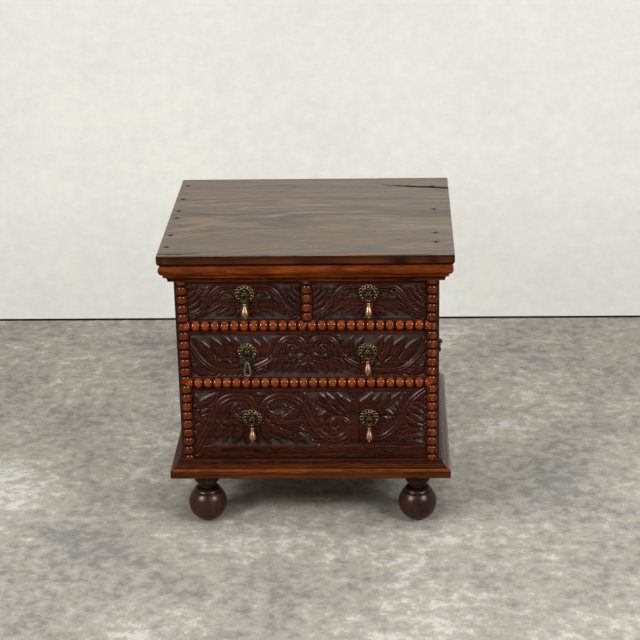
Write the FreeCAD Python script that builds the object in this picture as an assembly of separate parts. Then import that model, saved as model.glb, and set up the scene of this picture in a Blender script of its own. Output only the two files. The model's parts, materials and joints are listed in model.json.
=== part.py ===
"""Small carved oak chest of drawers on ball feet, in millimetres.

The origin is on the floor under the middle of the lid. +Z is up, the drawer
fronts face -Y and +X is to the right of someone who faces them.
"""
import FreeCAD, Part
import math
import os

Vec = FreeCAD.Vector

# Lid and case
LID_WIDTH = 560.0
LID_DEPTH = 484.0
LID_THICK = 22.0
LID_OVERHANG = 28.0
LID_BACK_OVERHANG = 8.0
LID_FRONT_BOARD_SHARE = 0.51
LID_TOP_ROUND = 3.0
LID_UNDER_ROUND = 9.0
SIDE_THICK = 24.0
BACK_THICK = 12.0
BOTTOM_THICK = 18.0

# Heights of the front, from the floor up
FOOT_HEIGHT = 108.0
BLOCK_THICK = 14.0
BOTTOM_RAIL_HEIGHT = 13.0
BOTTOM_OPENING = 156.0
MIDDLE_OPENING = 101.0
TOP_OPENING = 82.0
CORNICE_HEIGHT = 36.0

# Rails, muntin and the wood that the drawers slide on
RAIL_HEIGHT = 18.0
RAIL_DEPTH = 60.0
TOP_RAIL_DEPTH = 24.0
HOUSING_DEPTH = 6.0
MUNTIN_WIDTH = 20.0
RUNNER_WIDTH = 20.0
CENTRE_RUNNER_WIDTH = 60.0
GUIDE_HEIGHT = 16.0
KICKER_HEIGHT = 20.0

# Drawers
DRAWER_GAP = 1.0
RUNNING_GAP = 0.3
BACK_GAP = 2.0
FRONT_THICK = 20.0
FRONT_REBATE = 10.0
DRAWER_SIDE_THICK = 10.0
DRAWER_BACK_THICK = 10.0
DRAWER_BOTTOM_THICK = 6.0
DRAWER_SIDE_DROP = 12.0

# Carving of the drawer fronts: scroll bands and leaves that stand in a sunk ground
CARVING_DEPTH = 4.2
CARVING_MARGIN = 3.5
CARVING_HEAD_MARGIN = 11.5
TOP_CARVING_HEAD_MARGIN = 7.5
BOTTOM_BAND_HEIGHT = 25.7
SCROLL_WIDTH = 17.0
SCROLL_END_WIDTH = 7.0
MIDDLE_SCROLL_WIDTH = 13.0
MIDDLE_SCROLL_END_WIDTH = 6.5
ARCH_WIDTH = 12.0
CURL_WIDTH = 6.5
STEM_WIDTH = 14.0
SHIELD_RADIUS = 20.0
LEAF_WIDTH = 13.0
LEAF_BEND_SHARE = 0.12
PULL_SEAT_RADIUS = 12.0

# Split-turned bead strings
BEAD_RADIUS = 8.8
BEAD_PITCH = 18.6
BEAD_NECK_RADIUS = 4.2
BEAD_NECK_LENGTH = 1.6
BEAD_INSET = 4.8

# Cornice moulding, projections from the case and heights from its foot
CORNICE_FOOT_OUT = 10.5
CORNICE_FOOT_HEIGHT = 1.4
CORNICE_FILLET_OUT = 18.0
CORNICE_COVE_HEIGHT = 9.0
CORNICE_FILLET_HEIGHT = 4.6
CORNICE_BULGE_OUT = 26.0
CORNICE_TOP_OUT = 22.0
CORNICE_BULGE_START_OUT = 19.5
CORNICE_BULGE_MIDDLE_SHARE = 0.56

# Plinth moulding
PLINTH_OUT = 20.0
PLINTH_BOARD_HEIGHT = 19.0
PLINTH_ROUND = 4.0
PLINTH_STEP_OUT = 11.0
PLINTH_STEP_HEIGHT = 4.5
PLINTH_TOP_OUT = 6.0
PLINTH_TOP_HEIGHT = 1.6

# Turned feet and the blocks above them
BLOCK_SIZE = 86.0
FOOT_INSET = 41.0
BALL_RADIUS = 38.3
BALL_FLAT_RADIUS = 7.8
BALL_GROOVE_RADIUS = 28.5
BALL_GROOVE_DEPTH = 1.3
NECK_RADIUS = 17.3
NECK_HEIGHT = 72.5
SHOULDER_RADIUS = 25.0
SHOULDER_HEIGHT = 86.0
SHOULDER_FILLET = 1.2
TENON_RADIUS = 12.0
TENON_LENGTH = 26.0

# Drawer pulls: pierced rosette, cotter and hanging drop
PULL_HEIGHT_TOP = 53.0
PULL_HEIGHT_MIDDLE = 52.5
PULL_HEIGHT_BOTTOM = 86.5
PULL_X_TOP = 118.0
PULL_X_MIDDLE_LEFT = -117.0
PULL_X_MIDDLE_RIGHT = 115.0
PULL_X_BOTTOM_LEFT = -112.0
PULL_X_BOTTOM_RIGHT = 116.5
ROSETTE_RADIUS = 19.0
ROSETTE_THICK = 1.5
ROSETTE_DOME = 3.6
ROSETTE_LOBES = 10
ROSETTE_NOTCH_RADIUS = 2.6
ROSETTE_PIERCING_RADIUS = 2.1
ROSETTE_PIERCING_RING = 12.0
ROSETTE_BOSS_RADIUS = 6.5
EYE_STANDOFF = 8.5
EYE_RADIUS = 3.0
EYE_WIRE = 1.1
SHANK_RADIUS = 1.8
CLINCH_LENGTH = 10.0
HEAD_RADIUS = 3.9
HEAD_WIRE = 1.6
DROP_LENGTH = 48.0
DROP_COLLAR_RADIUS = 4.8
DROP_NECK_RADIUS = 3.3
DROP_PEAR_RADIUS = 6.9
DROP_PEAR_RADIUS_LARGE = 7.8
DROP_TIP_RADIUS = 1.7
DROP_TIP_JOINT_SHARE = 0.7

# Replacement pull: an open loop of iron wire on the same cotter
LOOP_WIRE = 1.9
LOOP_RADIUS = 5.9
LOOP_LENGTH = 50.0
LOOP_STEM_RADIUS = 2.0
LOOP_OPEN_LENGTH = 30.0
LOOP_HEAD_WIRE = 1.5

# Ring handles on the case sides
RING_RADIUS = 10.0
RING_WIRE = 2.2
RING_HEIGHT = 312.0
RING_DEPTH_PLACE = 0.0
RING_STANDOFF = 7.0
RING_EYE_WIRE = 1.6
RING_CLEARANCE = 0.3
RING_SHANK_RADIUS = 2.2
RING_SHANK_LENGTH = 20.0

# Nails through the lid
NAIL_HEAD_RADIUS = 3.4
NAIL_HEAD_THICK = 1.8
NAIL_HEAD_SUNK = 0.4
NAIL_SHANK_RADIUS = 1.5
NAIL_LENGTH = 46.0
NAIL_LEFT_INSET = 15.0
NAIL_RIGHT_INSET = 33.0
NAIL_LEFT_SHARES = (0.11, 0.25, 0.47, 0.56, 0.72, 0.91)
NAIL_RIGHT_SHARES = (0.15, 0.26, 0.56, 0.88)

# Carving places, as shares of a drawer front: x of its half width from its middle, z of its
# height from its foot. A scroll has its first heading in degrees and the places that it passes.
BOTTOM_SCROLL_SHARES = (
    (58, (
        (-1.00, 0.11), (-0.89, 0.38), (-0.82, 0.64), (-0.73, 0.80), (-0.60, 0.85),
        (-0.47, 0.70), (-0.55, 0.54), (-0.66, 0.67), (-0.60, 0.75),
    )),
    (84, (
        (-0.43, 0.55), (-0.37, 0.77), (-0.21, 0.85), (-0.05, 0.70), (0.05, 0.41),
        (0.22, 0.25), (0.34, 0.41), (0.26, 0.54), (0.18, 0.44), (0.22, 0.39),
    )),
    (222, (
        (1.00, 0.93), (0.84, 0.69), (0.72, 0.38), (0.60, 0.26), (0.46, 0.38),
        (0.51, 0.50), (0.57, 0.42),
    )),
)
MIDDLE_SCROLL_SHARES = (
    (-55, (
        (-1.00, 0.67), (-0.86, 0.25), (-0.70, 0.11), (-0.46, 0.19), (-0.29, 0.44),
        (-0.19, 0.77), (-0.04, 0.69), (-0.09, 0.41), (-0.17, 0.57), (-0.12, 0.64),
    )),
)
TOP_ARCH_SHARES = ((20, ((-0.99, 0.12), (-0.70, 0.38), (-0.46, 0.77), (0.0, 0.83))),)
TOP_CURL_SHARES = (
    (105, ((-0.09, 0.57), (-0.22, 0.73), (-0.37, 0.69), (-0.43, 0.55), (-0.35, 0.46), (-0.28, 0.52))),
)

# The shield over the bottom drawer's stem
SHIELD_SHARES = (0.40, 0.88)

# A fan of leaves has its root, the first and last leaf's heading in degrees, their number, the
# first and last leaf's length as a share of the front's height, and the side that they bend to.
BOTTOM_FAN_SHARES = (
    ((-0.55, 0.50), (212, 284), 5, (0.58, 0.32), 1),
    ((-0.40, 0.64), (268, 316), 4, (0.45, 0.62), -1),
    ((-0.19, 0.55), (200, 350), 4, (0.30, 0.26), 1),
    ((0.37, 0.48), (106, 176), 5, (0.46, 0.36), -1),
    ((0.42, 0.50), (74, 28), 4, (0.46, 0.58), 1),
    ((0.73, 0.25), (34, -8), 4, (0.42, 0.30), -1),
    ((0.85, 0.58), (-8, -50), 3, (0.28, 0.22), 1),
    ((-0.98, 0.50), (92, 52), 3, (0.42, 0.30), -1),
)
MIDDLE_FAN_SHARES = (
    ((-0.60, 0.26), (146, 100), 5, (0.94, 0.62), -1),
    ((-0.41, 0.33), (110, 62), 4, (0.58, 0.62), 1),
    ((-0.03, 0.34), (200, 262), 5, (0.62, 0.32), 1),
)
TOP_FAN_SHARES = (
    ((-0.09, 0.45), (196, 262), 5, (0.98, 0.34), 1),
    ((-0.99, 0.32), (62, 26), 3, (0.56, 0.42), -1),
)

# Levels and planes that follow from the sizes above
CASE_WIDTH = LID_WIDTH - 2 * LID_OVERHANG
CASE_X = CASE_WIDTH / 2
INNER_X = CASE_X - SIDE_THICK
CASE_FRONT = LID_OVERHANG - LID_DEPTH / 2
CASE_BACK = LID_DEPTH / 2 - LID_BACK_OVERHANG
BOARDS_BACK = CASE_BACK - BACK_THICK
CASE_FOOT = FOOT_HEIGHT + BLOCK_THICK
SIDE_FOOT = CASE_FOOT + BOTTOM_THICK
BOTTOM_SILL = SIDE_FOOT + BOTTOM_RAIL_HEIGHT
LOWER_RAIL = BOTTOM_SILL + BOTTOM_OPENING
MIDDLE_SILL = LOWER_RAIL + RAIL_HEIGHT
UPPER_RAIL = MIDDLE_SILL + MIDDLE_OPENING
TOP_SILL = UPPER_RAIL + RAIL_HEIGHT
CORNICE_FOOT = TOP_SILL + TOP_OPENING
CASE_TOP = CORNICE_FOOT + CORNICE_HEIGHT
LID_TOP = CASE_TOP + LID_THICK
RAIL_BACK = CASE_FRONT + RAIL_DEPTH
COLUMN_X = CASE_X - BEAD_INSET - BEAD_RADIUS
LOWER_RAIL_MIDDLE = LOWER_RAIL + RAIL_HEIGHT / 2
UPPER_RAIL_MIDDLE = UPPER_RAIL + RAIL_HEIGHT / 2
OVERRUN = LID_OVERHANG


def box(x_range, y_range, z_range):
    """Return a box between two values on each axis."""
    size = [high - low for low, high in (x_range, y_range, z_range)]
    corner = Vec(x_range[0], y_range[0], z_range[0])
    return Part.makeBox(size[0], size[1], size[2], corner)


def mirrored(shape):
    """Return the shape mirrored to the other side of the chest."""
    return shape.mirror(Vec(0, 0, 0), Vec(1, 0, 0))


def polygon_prism(points, direction):
    """Return the prism of a closed polygon moved along a vector."""
    wire = Part.makePolygon(list(points) + [points[0]])
    return Part.Face(wire).extrude(direction)


def line(start, end):
    """Return a straight edge."""
    return Part.LineSegment(start, end).toShape()


def arc(start, middle, end):
    """Return an arc edge through three points."""
    return Part.Arc(start, middle, end).toShape()


def save(name, shapes):
    """Write one sub-part, alone or as a group of separate solids."""
    solids = shapes if isinstance(shapes, list) else [shapes]
    shape = solids[0] if len(solids) == 1 else Part.makeCompound(solids)
    shape.exportStep(os.path.join("parts", name + ".step"))


def lid_nails():
    """Return the nails that hold the lid down, points downwards."""
    nails = []
    places = [(-LID_WIDTH / 2 + NAIL_LEFT_INSET, share) for share in NAIL_LEFT_SHARES]
    places += [(LID_WIDTH / 2 - NAIL_RIGHT_INSET, share) for share in NAIL_RIGHT_SHARES]
    head_top = LID_TOP - NAIL_HEAD_SUNK
    for x, share in places:
        y = LID_DEPTH * share - LID_DEPTH / 2
        down = Vec(0, 0, -1)
        head = Part.makeCylinder(NAIL_HEAD_RADIUS, NAIL_HEAD_THICK, Vec(x, y, head_top), down)
        shank = Part.makeCylinder(NAIL_SHANK_RADIUS, NAIL_LENGTH, Vec(x, y, head_top), down)
        nails.append(head.fuse(shank))
    return nails


def nail_sockets():
    """Return the holes of the nails, open at the lid's top."""
    sockets = []
    for nail in lid_nails():
        box_of = nail.BoundBox
        mouth = Vec(box_of.Center.x, box_of.Center.y, box_of.ZMax)
        opening = Part.makeCylinder(NAIL_HEAD_RADIUS, LID_THICK, mouth)
        sockets.append(nail.fuse(opening))
    return sockets


def lid_boards():
    """Return the front and rear lid boards with their moulded edges."""
    half_x = LID_WIDTH / 2
    half_y = LID_DEPTH / 2
    lid = box((-half_x, half_x), (-half_y, half_y), (CASE_TOP, LID_TOP))
    lid = round_edges(lid, CASE_TOP, LID_UNDER_ROUND)
    lid = round_edges(lid, LID_TOP, LID_TOP_ROUND)
    lid = lid.cut(Part.makeCompound(nail_sockets()))
    joint = LID_DEPTH * LID_FRONT_BOARD_SHARE - half_y
    z_range = (CASE_TOP - OVERRUN, LID_TOP + OVERRUN)
    x_range = (-half_x - OVERRUN, half_x + OVERRUN)
    front = lid.common(box(x_range, (-half_y - OVERRUN, joint), z_range))
    rear = lid.common(box(x_range, (joint, half_y + OVERRUN), z_range))
    return front, rear


def round_edges(board, level, radius):
    """Round the front and end edges of the lid at one level."""
    chosen = []
    for edge in board.Edges:
        bounds = edge.BoundBox
        flat = abs(bounds.ZMin - level) < 1e-6 and abs(bounds.ZMax - level) < 1e-6
        at_back = bounds.YMin > 0
        if flat and not at_back:
            chosen.append(edge)
    return board.makeFillet(radius, chosen)


def case_side(housings, sockets):
    """Return the right-hand side board with its housings cut."""
    board = box((INNER_X, CASE_X), (CASE_FRONT, BOARDS_BACK), (SIDE_FOOT, CASE_TOP))
    return board.cut(Part.makeCompound(housings + sockets))


def cross_rail(depth, foot, height):
    """Return a rail housed in both case sides, flush with their front."""
    half = INNER_X + HOUSING_DEPTH
    return box((-half, half), (CASE_FRONT, CASE_FRONT + depth), (foot, foot + height))


def muntin():
    """Return the upright between the two top drawers."""
    half = MUNTIN_WIDTH / 2
    return box((-half, half), (CASE_FRONT, RAIL_BACK), (TOP_SILL, CORNICE_FOOT))


def side_runners():
    """Return the runners under the drawers' sides."""
    levels = ((BOTTOM_SILL, BOTTOM_RAIL_HEIGHT), (MIDDLE_SILL, RAIL_HEIGHT), (TOP_SILL, RAIL_HEIGHT))
    runners = []
    for sill, height in levels:
        right = box((INNER_X - RUNNER_WIDTH, INNER_X), (RAIL_BACK, BOARDS_BACK), (sill - height, sill))
        runners += [right, mirrored(right)]
    return runners


def centre_runner():
    """Return the T-shaped runner and guide between the top drawers."""
    half = CENTRE_RUNNER_WIDTH / 2
    guide = MUNTIN_WIDTH / 2
    y_range = (RAIL_BACK, BOARDS_BACK)
    base = box((-half, half), y_range, (UPPER_RAIL, TOP_SILL))
    rib = box((-guide, guide), y_range, (TOP_SILL, TOP_SILL + GUIDE_HEIGHT))
    return base.fuse(rib).removeSplitter()


def kickers():
    """Return the strips under the lid that keep the open drawers level."""
    y_range = (CASE_FRONT + TOP_RAIL_DEPTH, BOARDS_BACK)
    z_range = (CORNICE_FOOT, CORNICE_FOOT + KICKER_HEIGHT)
    right = box((INNER_X - RUNNER_WIDTH, INNER_X), y_range, z_range)
    half = CENTRE_RUNNER_WIDTH / 2
    return [mirrored(right), right, box((-half, half), y_range, z_range)]


def back_boards():
    """Return the two boards nailed over the back of the sides."""
    middle = (SIDE_FOOT + CASE_TOP) / 2
    across = (-CASE_X, CASE_X)
    through = (BOARDS_BACK, CASE_BACK)
    return [box(across, through, (SIDE_FOOT, middle)), box(across, through, (middle, CASE_TOP))]


def bead_string(length):
    """Return half of a turned string of beads along +X, its flat at y = 0."""
    count = math.ceil(length / BEAD_PITCH) + 2
    half_bead = (BEAD_PITCH - BEAD_NECK_LENGTH) / 2
    start = (length - count * BEAD_PITCH) / 2
    edges = []
    for index in range(count):
        middle = start + (index + 0.5) * BEAD_PITCH
        left = Vec(middle - half_bead, 0, BEAD_NECK_RADIUS)
        right = Vec(middle + half_bead, 0, BEAD_NECK_RADIUS)
        edges.append(arc(left, Vec(middle, 0, BEAD_RADIUS), right))
        if index < count - 1:
            edges.append(line(right, right + Vec(BEAD_NECK_LENGTH, 0, 0)))
    first = edges[0].Vertexes[0].Point
    last = edges[-1].Vertexes[-1].Point
    edges.append(line(last, Vec(last.x, 0, 0)))
    edges.append(line(Vec(last.x, 0, 0), Vec(first.x, 0, 0)))
    edges.append(line(Vec(first.x, 0, 0), first))
    profile = Part.Face(Part.Wire(edges))
    return profile.revolve(Vec(0, 0, 0), Vec(1, 0, 0), 180)


def strip_prism(points):
    """Return a prism over an outline on the front plane, past the beads."""
    outline = [Vec(x, CASE_FRONT - OVERRUN, z) for x, z in points]
    return polygon_prism(outline, Vec(0, OVERRUN, 0))


def rail_outline(level):
    """Return the pointed outline of a rail's bead string."""
    shoulder = COLUMN_X - BEAD_RADIUS
    low = level - BEAD_RADIUS
    high = level + BEAD_RADIUS
    upper = [(-shoulder, high), (shoulder, high)]
    lower = [(shoulder, low), (-shoulder, low)]
    return [(-COLUMN_X, level)] + upper + [(COLUMN_X, level)] + lower


def rail_beads(level):
    """Return a rail's bead string, pointed where it meets the columns."""
    string = bead_string(2 * COLUMN_X)
    string.translate(Vec(-COLUMN_X, CASE_FRONT, level))
    return string.common(strip_prism(rail_outline(level)))


def upright_beads(x, foot, head):
    """Return an upright bead string between two levels."""
    string = bead_string(head - foot)
    string.rotate(Vec(0, 0, 0), Vec(0, 1, 0), -90)
    string.translate(Vec(x, CASE_FRONT, foot))
    return string


def column_beads():
    """Return the right-hand column of beads, notched for the rails' points."""
    string = upright_beads(COLUMN_X, BOTTOM_SILL, CORNICE_FOOT)
    low_x = COLUMN_X - BEAD_RADIUS
    high_x = COLUMN_X + BEAD_RADIUS
    outline = [(low_x, BOTTOM_SILL), (high_x, BOTTOM_SILL), (high_x, CORNICE_FOOT), (low_x, CORNICE_FOOT)]
    string = string.common(strip_prism(outline))
    for level in (LOWER_RAIL_MIDDLE, UPPER_RAIL_MIDDLE):
        string = string.cut(strip_prism(rail_outline(level)))
    return string


def muntin_outline():
    """Return the outline of the muntin's bead string, pointed at its foot."""
    shoulder = UPPER_RAIL_MIDDLE + BEAD_RADIUS
    edge = BEAD_RADIUS
    right = [(edge, shoulder), (edge, CORNICE_FOOT)]
    left = [(-edge, CORNICE_FOOT), (-edge, shoulder)]
    return [(0, UPPER_RAIL_MIDDLE)] + right + left


def cornice_profile():
    """Return the cornice section as edges in (out, 0, up)."""
    cove_foot = CORNICE_FOOT_HEIGHT
    cove_head = cove_foot + CORNICE_COVE_HEIGHT
    fillet_head = cove_head + CORNICE_FILLET_HEIGHT
    bulge = CORNICE_HEIGHT - fillet_head
    points = {
        "back_foot": Vec(0, 0, 0),
        "foot": Vec(CORNICE_FOOT_OUT, 0, 0),
        "cove_foot": Vec(CORNICE_FOOT_OUT, 0, cove_foot),
        "cove_head": Vec(CORNICE_FILLET_OUT, 0, cove_head),
        "fillet_head": Vec(CORNICE_FILLET_OUT, 0, fillet_head),
        "bulge_foot": Vec(CORNICE_BULGE_START_OUT, 0, fillet_head),
        "top": Vec(CORNICE_TOP_OUT, 0, CORNICE_HEIGHT),
        "back_top": Vec(0, 0, CORNICE_HEIGHT),
    }
    cove_width = CORNICE_FILLET_OUT - CORNICE_FOOT_OUT
    quarter = math.cos(math.radians(45))
    hollow = Vec(CORNICE_FILLET_OUT - cove_width * quarter, 0, cove_foot + CORNICE_COVE_HEIGHT * quarter)
    swell = Vec(CORNICE_BULGE_OUT, 0, fillet_head + bulge * CORNICE_BULGE_MIDDLE_SHARE)
    return [
        line(points["back_foot"], points["foot"]),
        line(points["foot"], points["cove_foot"]),
        arc(points["cove_foot"], hollow, points["cove_head"]),
        line(points["cove_head"], points["fillet_head"]),
        line(points["fillet_head"], points["bulge_foot"]),
        arc(points["bulge_foot"], swell, points["top"]),
        line(points["top"], points["back_top"]),
        line(points["back_top"], points["back_foot"]),
    ]


def plinth_profile():
    """Return the plinth section as edges in (out, 0, up)."""
    height = BOTTOM_SILL - CASE_FOOT
    board = PLINTH_BOARD_HEIGHT
    flat_low = PLINTH_ROUND
    flat_high = board - PLINTH_ROUND
    inner = PLINTH_OUT - PLINTH_ROUND
    bow = PLINTH_ROUND * (1 - math.cos(math.radians(45)))
    step_head = board + PLINTH_STEP_HEIGHT
    cove_head = height - PLINTH_TOP_HEIGHT
    quarter = math.cos(math.radians(45))
    hollow = Vec(
        PLINTH_STEP_OUT - (PLINTH_STEP_OUT - PLINTH_TOP_OUT) * quarter,
        0,
        cove_head - (cove_head - step_head) * quarter,
    )
    return [
        line(Vec(0, 0, 0), Vec(inner, 0, 0)),
        arc(Vec(inner, 0, 0), Vec(PLINTH_OUT - bow, 0, bow), Vec(PLINTH_OUT, 0, flat_low)),
        line(Vec(PLINTH_OUT, 0, flat_low), Vec(PLINTH_OUT, 0, flat_high)),
        arc(Vec(PLINTH_OUT, 0, flat_high), Vec(PLINTH_OUT - bow, 0, board - bow), Vec(inner, 0, board)),
        line(Vec(inner, 0, board), Vec(PLINTH_STEP_OUT, 0, board)),
        line(Vec(PLINTH_STEP_OUT, 0, board), Vec(PLINTH_STEP_OUT, 0, step_head)),
        arc(Vec(PLINTH_STEP_OUT, 0, step_head), hollow, Vec(PLINTH_TOP_OUT, 0, cove_head)),
        line(Vec(PLINTH_TOP_OUT, 0, cove_head), Vec(PLINTH_TOP_OUT, 0, height)),
        line(Vec(PLINTH_TOP_OUT, 0, height), Vec(0, 0, height)),
        line(Vec(0, 0, height), Vec(0, 0, 0)),
    ]


def mouldings(profile, level):
    """Return the front, left and right lengths of a mitred moulding."""
    face = Part.Face(Part.Wire(profile))
    reach = OVERRUN
    front = face.copy()
    front.rotate(Vec(0, 0, 0), Vec(0, 0, 1), -90)
    front.translate(Vec(-CASE_X - reach, CASE_FRONT, level))
    front = front.extrude(Vec(CASE_WIDTH + 2 * reach, 0, 0))
    right = face.copy()
    right.translate(Vec(CASE_X, CASE_FRONT - reach, level))
    right = right.extrude(Vec(0, CASE_BACK - CASE_FRONT + reach, 0))
    corner = Vec(CASE_X, CASE_FRONT, level)
    out = Vec(reach, -reach, 0)
    rise = Vec(0, 0, CASE_TOP)
    ahead = Vec(0, -reach, 0)
    inner = Vec(-CASE_X, CASE_FRONT, level)
    front_zone = polygon_prism([corner, corner + out, inner + Vec(-reach, -reach, 0), inner], rise)
    back = Vec(CASE_X, CASE_BACK, level)
    right_zone = polygon_prism([corner, corner + out, back + Vec(reach, 0, 0), back], rise)
    front = front.common(front_zone)
    right = right.common(right_zone)
    return front, mirrored(right), right


def foot():
    """Return a turned ball foot with its tenon, on the Z axis."""
    ball_middle = math.sqrt(BALL_RADIUS ** 2 - BALL_FLAT_RADIUS ** 2)
    groove = BALL_GROOVE_RADIUS
    groove_z = ball_middle + math.sqrt(BALL_RADIUS ** 2 - groove ** 2)
    groove_in = groove - BALL_GROOVE_DEPTH
    lip_z = groove_z + BALL_GROOVE_DEPTH
    cap_mid_r = (groove_in + NECK_RADIUS) / 2
    cap_mid_z = ball_middle + math.sqrt(BALL_RADIUS ** 2 - cap_mid_r ** 2) + BALL_GROOVE_DEPTH / 2
    cove_depth = SHOULDER_RADIUS - SHOULDER_FILLET - NECK_RADIUS
    cove_x = NECK_RADIUS + cove_depth * (1 - math.cos(math.radians(45)))
    cove_z = NECK_HEIGHT + (SHOULDER_HEIGHT - NECK_HEIGHT) * math.sin(math.radians(45))
    cove_head = Vec(SHOULDER_RADIUS - SHOULDER_FILLET, 0, SHOULDER_HEIGHT)
    top = FOOT_HEIGHT
    edges = [
        line(Vec(0, 0, 0), Vec(BALL_FLAT_RADIUS, 0, 0)),
        arc(Vec(BALL_FLAT_RADIUS, 0, 0), Vec(BALL_RADIUS, 0, ball_middle), Vec(groove, 0, groove_z)),
        line(Vec(groove, 0, groove_z), Vec(groove_in, 0, groove_z)),
        line(Vec(groove_in, 0, groove_z), Vec(groove_in, 0, lip_z)),
        arc(Vec(groove_in, 0, lip_z), Vec(cap_mid_r, 0, cap_mid_z), Vec(NECK_RADIUS, 0, NECK_HEIGHT)),
        arc(Vec(NECK_RADIUS, 0, NECK_HEIGHT), Vec(cove_x, 0, cove_z), cove_head),
        line(cove_head, Vec(SHOULDER_RADIUS, 0, SHOULDER_HEIGHT)),
        line(Vec(SHOULDER_RADIUS, 0, SHOULDER_HEIGHT), Vec(SHOULDER_RADIUS, 0, top)),
        line(Vec(SHOULDER_RADIUS, 0, top), Vec(TENON_RADIUS, 0, top)),
        line(Vec(TENON_RADIUS, 0, top), Vec(TENON_RADIUS, 0, top + TENON_LENGTH)),
        line(Vec(TENON_RADIUS, 0, top + TENON_LENGTH), Vec(0, 0, top + TENON_LENGTH)),
        line(Vec(0, 0, top + TENON_LENGTH), Vec(0, 0, 0)),
    ]
    profile = Part.Face(Part.Wire(edges))
    return profile.revolve(Vec(0, 0, 0), Vec(0, 0, 1), 360)


def foot_places():
    """Return each foot's name and place on the floor."""
    x = CASE_X - FOOT_INSET
    front = CASE_FRONT + FOOT_INSET
    rear = CASE_BACK - FOOT_INSET
    return {
        "front_left": Vec(-x, front, 0),
        "front_right": Vec(x, front, 0),
        "rear_left": Vec(-x, rear, 0),
        "rear_right": Vec(x, rear, 0),
    }


def corner_block(place):
    """Return the block between a foot and the bottom board."""
    edge_x = math.copysign(CASE_X, place.x)
    inner_x = math.copysign(CASE_X - BLOCK_SIZE, place.x)
    edge_y = CASE_FRONT if place.y < 0 else CASE_BACK
    inner_y = CASE_FRONT + BLOCK_SIZE if place.y < 0 else CASE_BACK - BLOCK_SIZE
    x_range = (min(edge_x, inner_x), max(edge_x, inner_x))
    y_range = (min(edge_y, inner_y), max(edge_y, inner_y))
    return box(x_range, y_range, (FOOT_HEIGHT, CASE_FOOT))


def tenon_hole(place):
    """Return the hole that a foot's tenon fills."""
    return Part.makeCylinder(TENON_RADIUS, TENON_LENGTH, place + Vec(0, 0, FOOT_HEIGHT))


def rosette(x, z):
    """Return a pierced and scalloped rosette on the drawer front."""
    rim = ROSETTE_RADIUS
    boss = ROSETTE_BOSS_RADIUS
    thick = ROSETTE_THICK
    dome = ROSETTE_DOME
    section = [
        Vec(0, 0, 0),
        Vec(rim, 0, 0),
        Vec(rim, 0, thick),
        Vec(boss, 0, dome),
        Vec(boss - thick, 0, dome + thick),
        Vec(0, 0, dome + thick),
    ]
    face = Part.Face(Part.makePolygon(section + [section[0]]))
    plate = face.revolve(Vec(0, 0, 0), Vec(0, 0, 1), 360)
    step = 360 / ROSETTE_LOBES
    tools = []
    for index in range(ROSETTE_LOBES):
        turn = math.radians(index * step)
        notch = Vec(rim * math.cos(turn), rim * math.sin(turn), -thick)
        tools.append(Part.makeCylinder(ROSETTE_NOTCH_RADIUS, 2 * dome, notch))
        half_turn = turn + math.radians(step / 2)
        ring = ROSETTE_PIERCING_RING
        hole = Vec(ring * math.cos(half_turn), ring * math.sin(half_turn), -thick)
        tools.append(Part.makeCylinder(ROSETTE_PIERCING_RADIUS, 4 * dome, hole))
    tools.append(Part.makeCylinder(SHANK_RADIUS, 4 * dome, Vec(0, 0, -thick)))
    plate = plate.cut(Part.makeCompound(tools))
    plate.rotate(Vec(0, 0, 0), Vec(1, 0, 0), 90)
    plate.translate(Vec(x, CASE_FRONT, z))
    return plate


def cotter(x, z):
    """Return the wire eye that carries a drop, clinched inside the drawer."""
    eye_y = CASE_FRONT - EYE_STANDOFF
    inside = CASE_FRONT + FRONT_THICK
    eye = Part.makeTorus(EYE_RADIUS, EYE_WIRE, Vec(x, eye_y, z), Vec(1, 0, 0))
    shank_start = eye_y + EYE_RADIUS
    tail_y = inside + EYE_WIRE
    shank = Part.makeCylinder(SHANK_RADIUS, tail_y - shank_start, Vec(x, shank_start, z), Vec(0, 1, 0))
    tail = Part.makeCylinder(EYE_WIRE, 2 * CLINCH_LENGTH, Vec(x, tail_y, z - CLINCH_LENGTH))
    return eye.fuse([shank, tail])


def cotter_hole(x, z):
    """Return the hole of a cotter's shank through the drawer front."""
    return Part.makeCylinder(SHANK_RADIUS, FRONT_THICK, Vec(x, CASE_FRONT, z), Vec(0, 1, 0))


def pear_profile(pear_radius):
    """Return a drop's turned section below its head, as edges."""
    head_foot = 2 * HEAD_RADIUS
    collar = head_foot + HEAD_WIRE + DROP_COLLAR_RADIUS / 2
    waist_z = collar + DROP_COLLAR_RADIUS / 2
    tip = DROP_TIP_RADIUS
    joint = tip * DROP_TIP_JOINT_SHARE
    swell = DROP_LENGTH - 2 * tip - pear_radius
    tip_middle = DROP_LENGTH - tip
    pear_foot = swell + math.sqrt(pear_radius ** 2 - joint ** 2)
    tip_head = tip_middle - math.sqrt(tip ** 2 - joint ** 2)
    slant = math.cos(math.radians(45))
    waist = Vec(DROP_NECK_RADIUS, 0, -waist_z)
    belly = Vec(pear_radius, 0, -swell)
    flank_r = (DROP_NECK_RADIUS + pear_radius) / 2 - tip / 2
    tip_flank = Vec(tip * slant, 0, -tip_middle - tip * slant)
    return [
        line(Vec(0, 0, -head_foot), Vec(tip, 0, -head_foot)),
        line(Vec(tip, 0, -head_foot), Vec(DROP_COLLAR_RADIUS, 0, -collar)),
        line(Vec(DROP_COLLAR_RADIUS, 0, -collar), waist),
        arc(waist, Vec(flank_r, 0, -(waist_z + swell) / 2), belly),
        arc(belly, Vec(pear_radius * slant, 0, -swell - pear_radius * slant), Vec(joint, 0, -pear_foot)),
        line(Vec(joint, 0, -pear_foot), Vec(joint, 0, -tip_head)),
        arc(Vec(joint, 0, -tip_head), tip_flank, Vec(0, 0, -DROP_LENGTH)),
        line(Vec(0, 0, -DROP_LENGTH), Vec(0, 0, -head_foot)),
    ]


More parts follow.
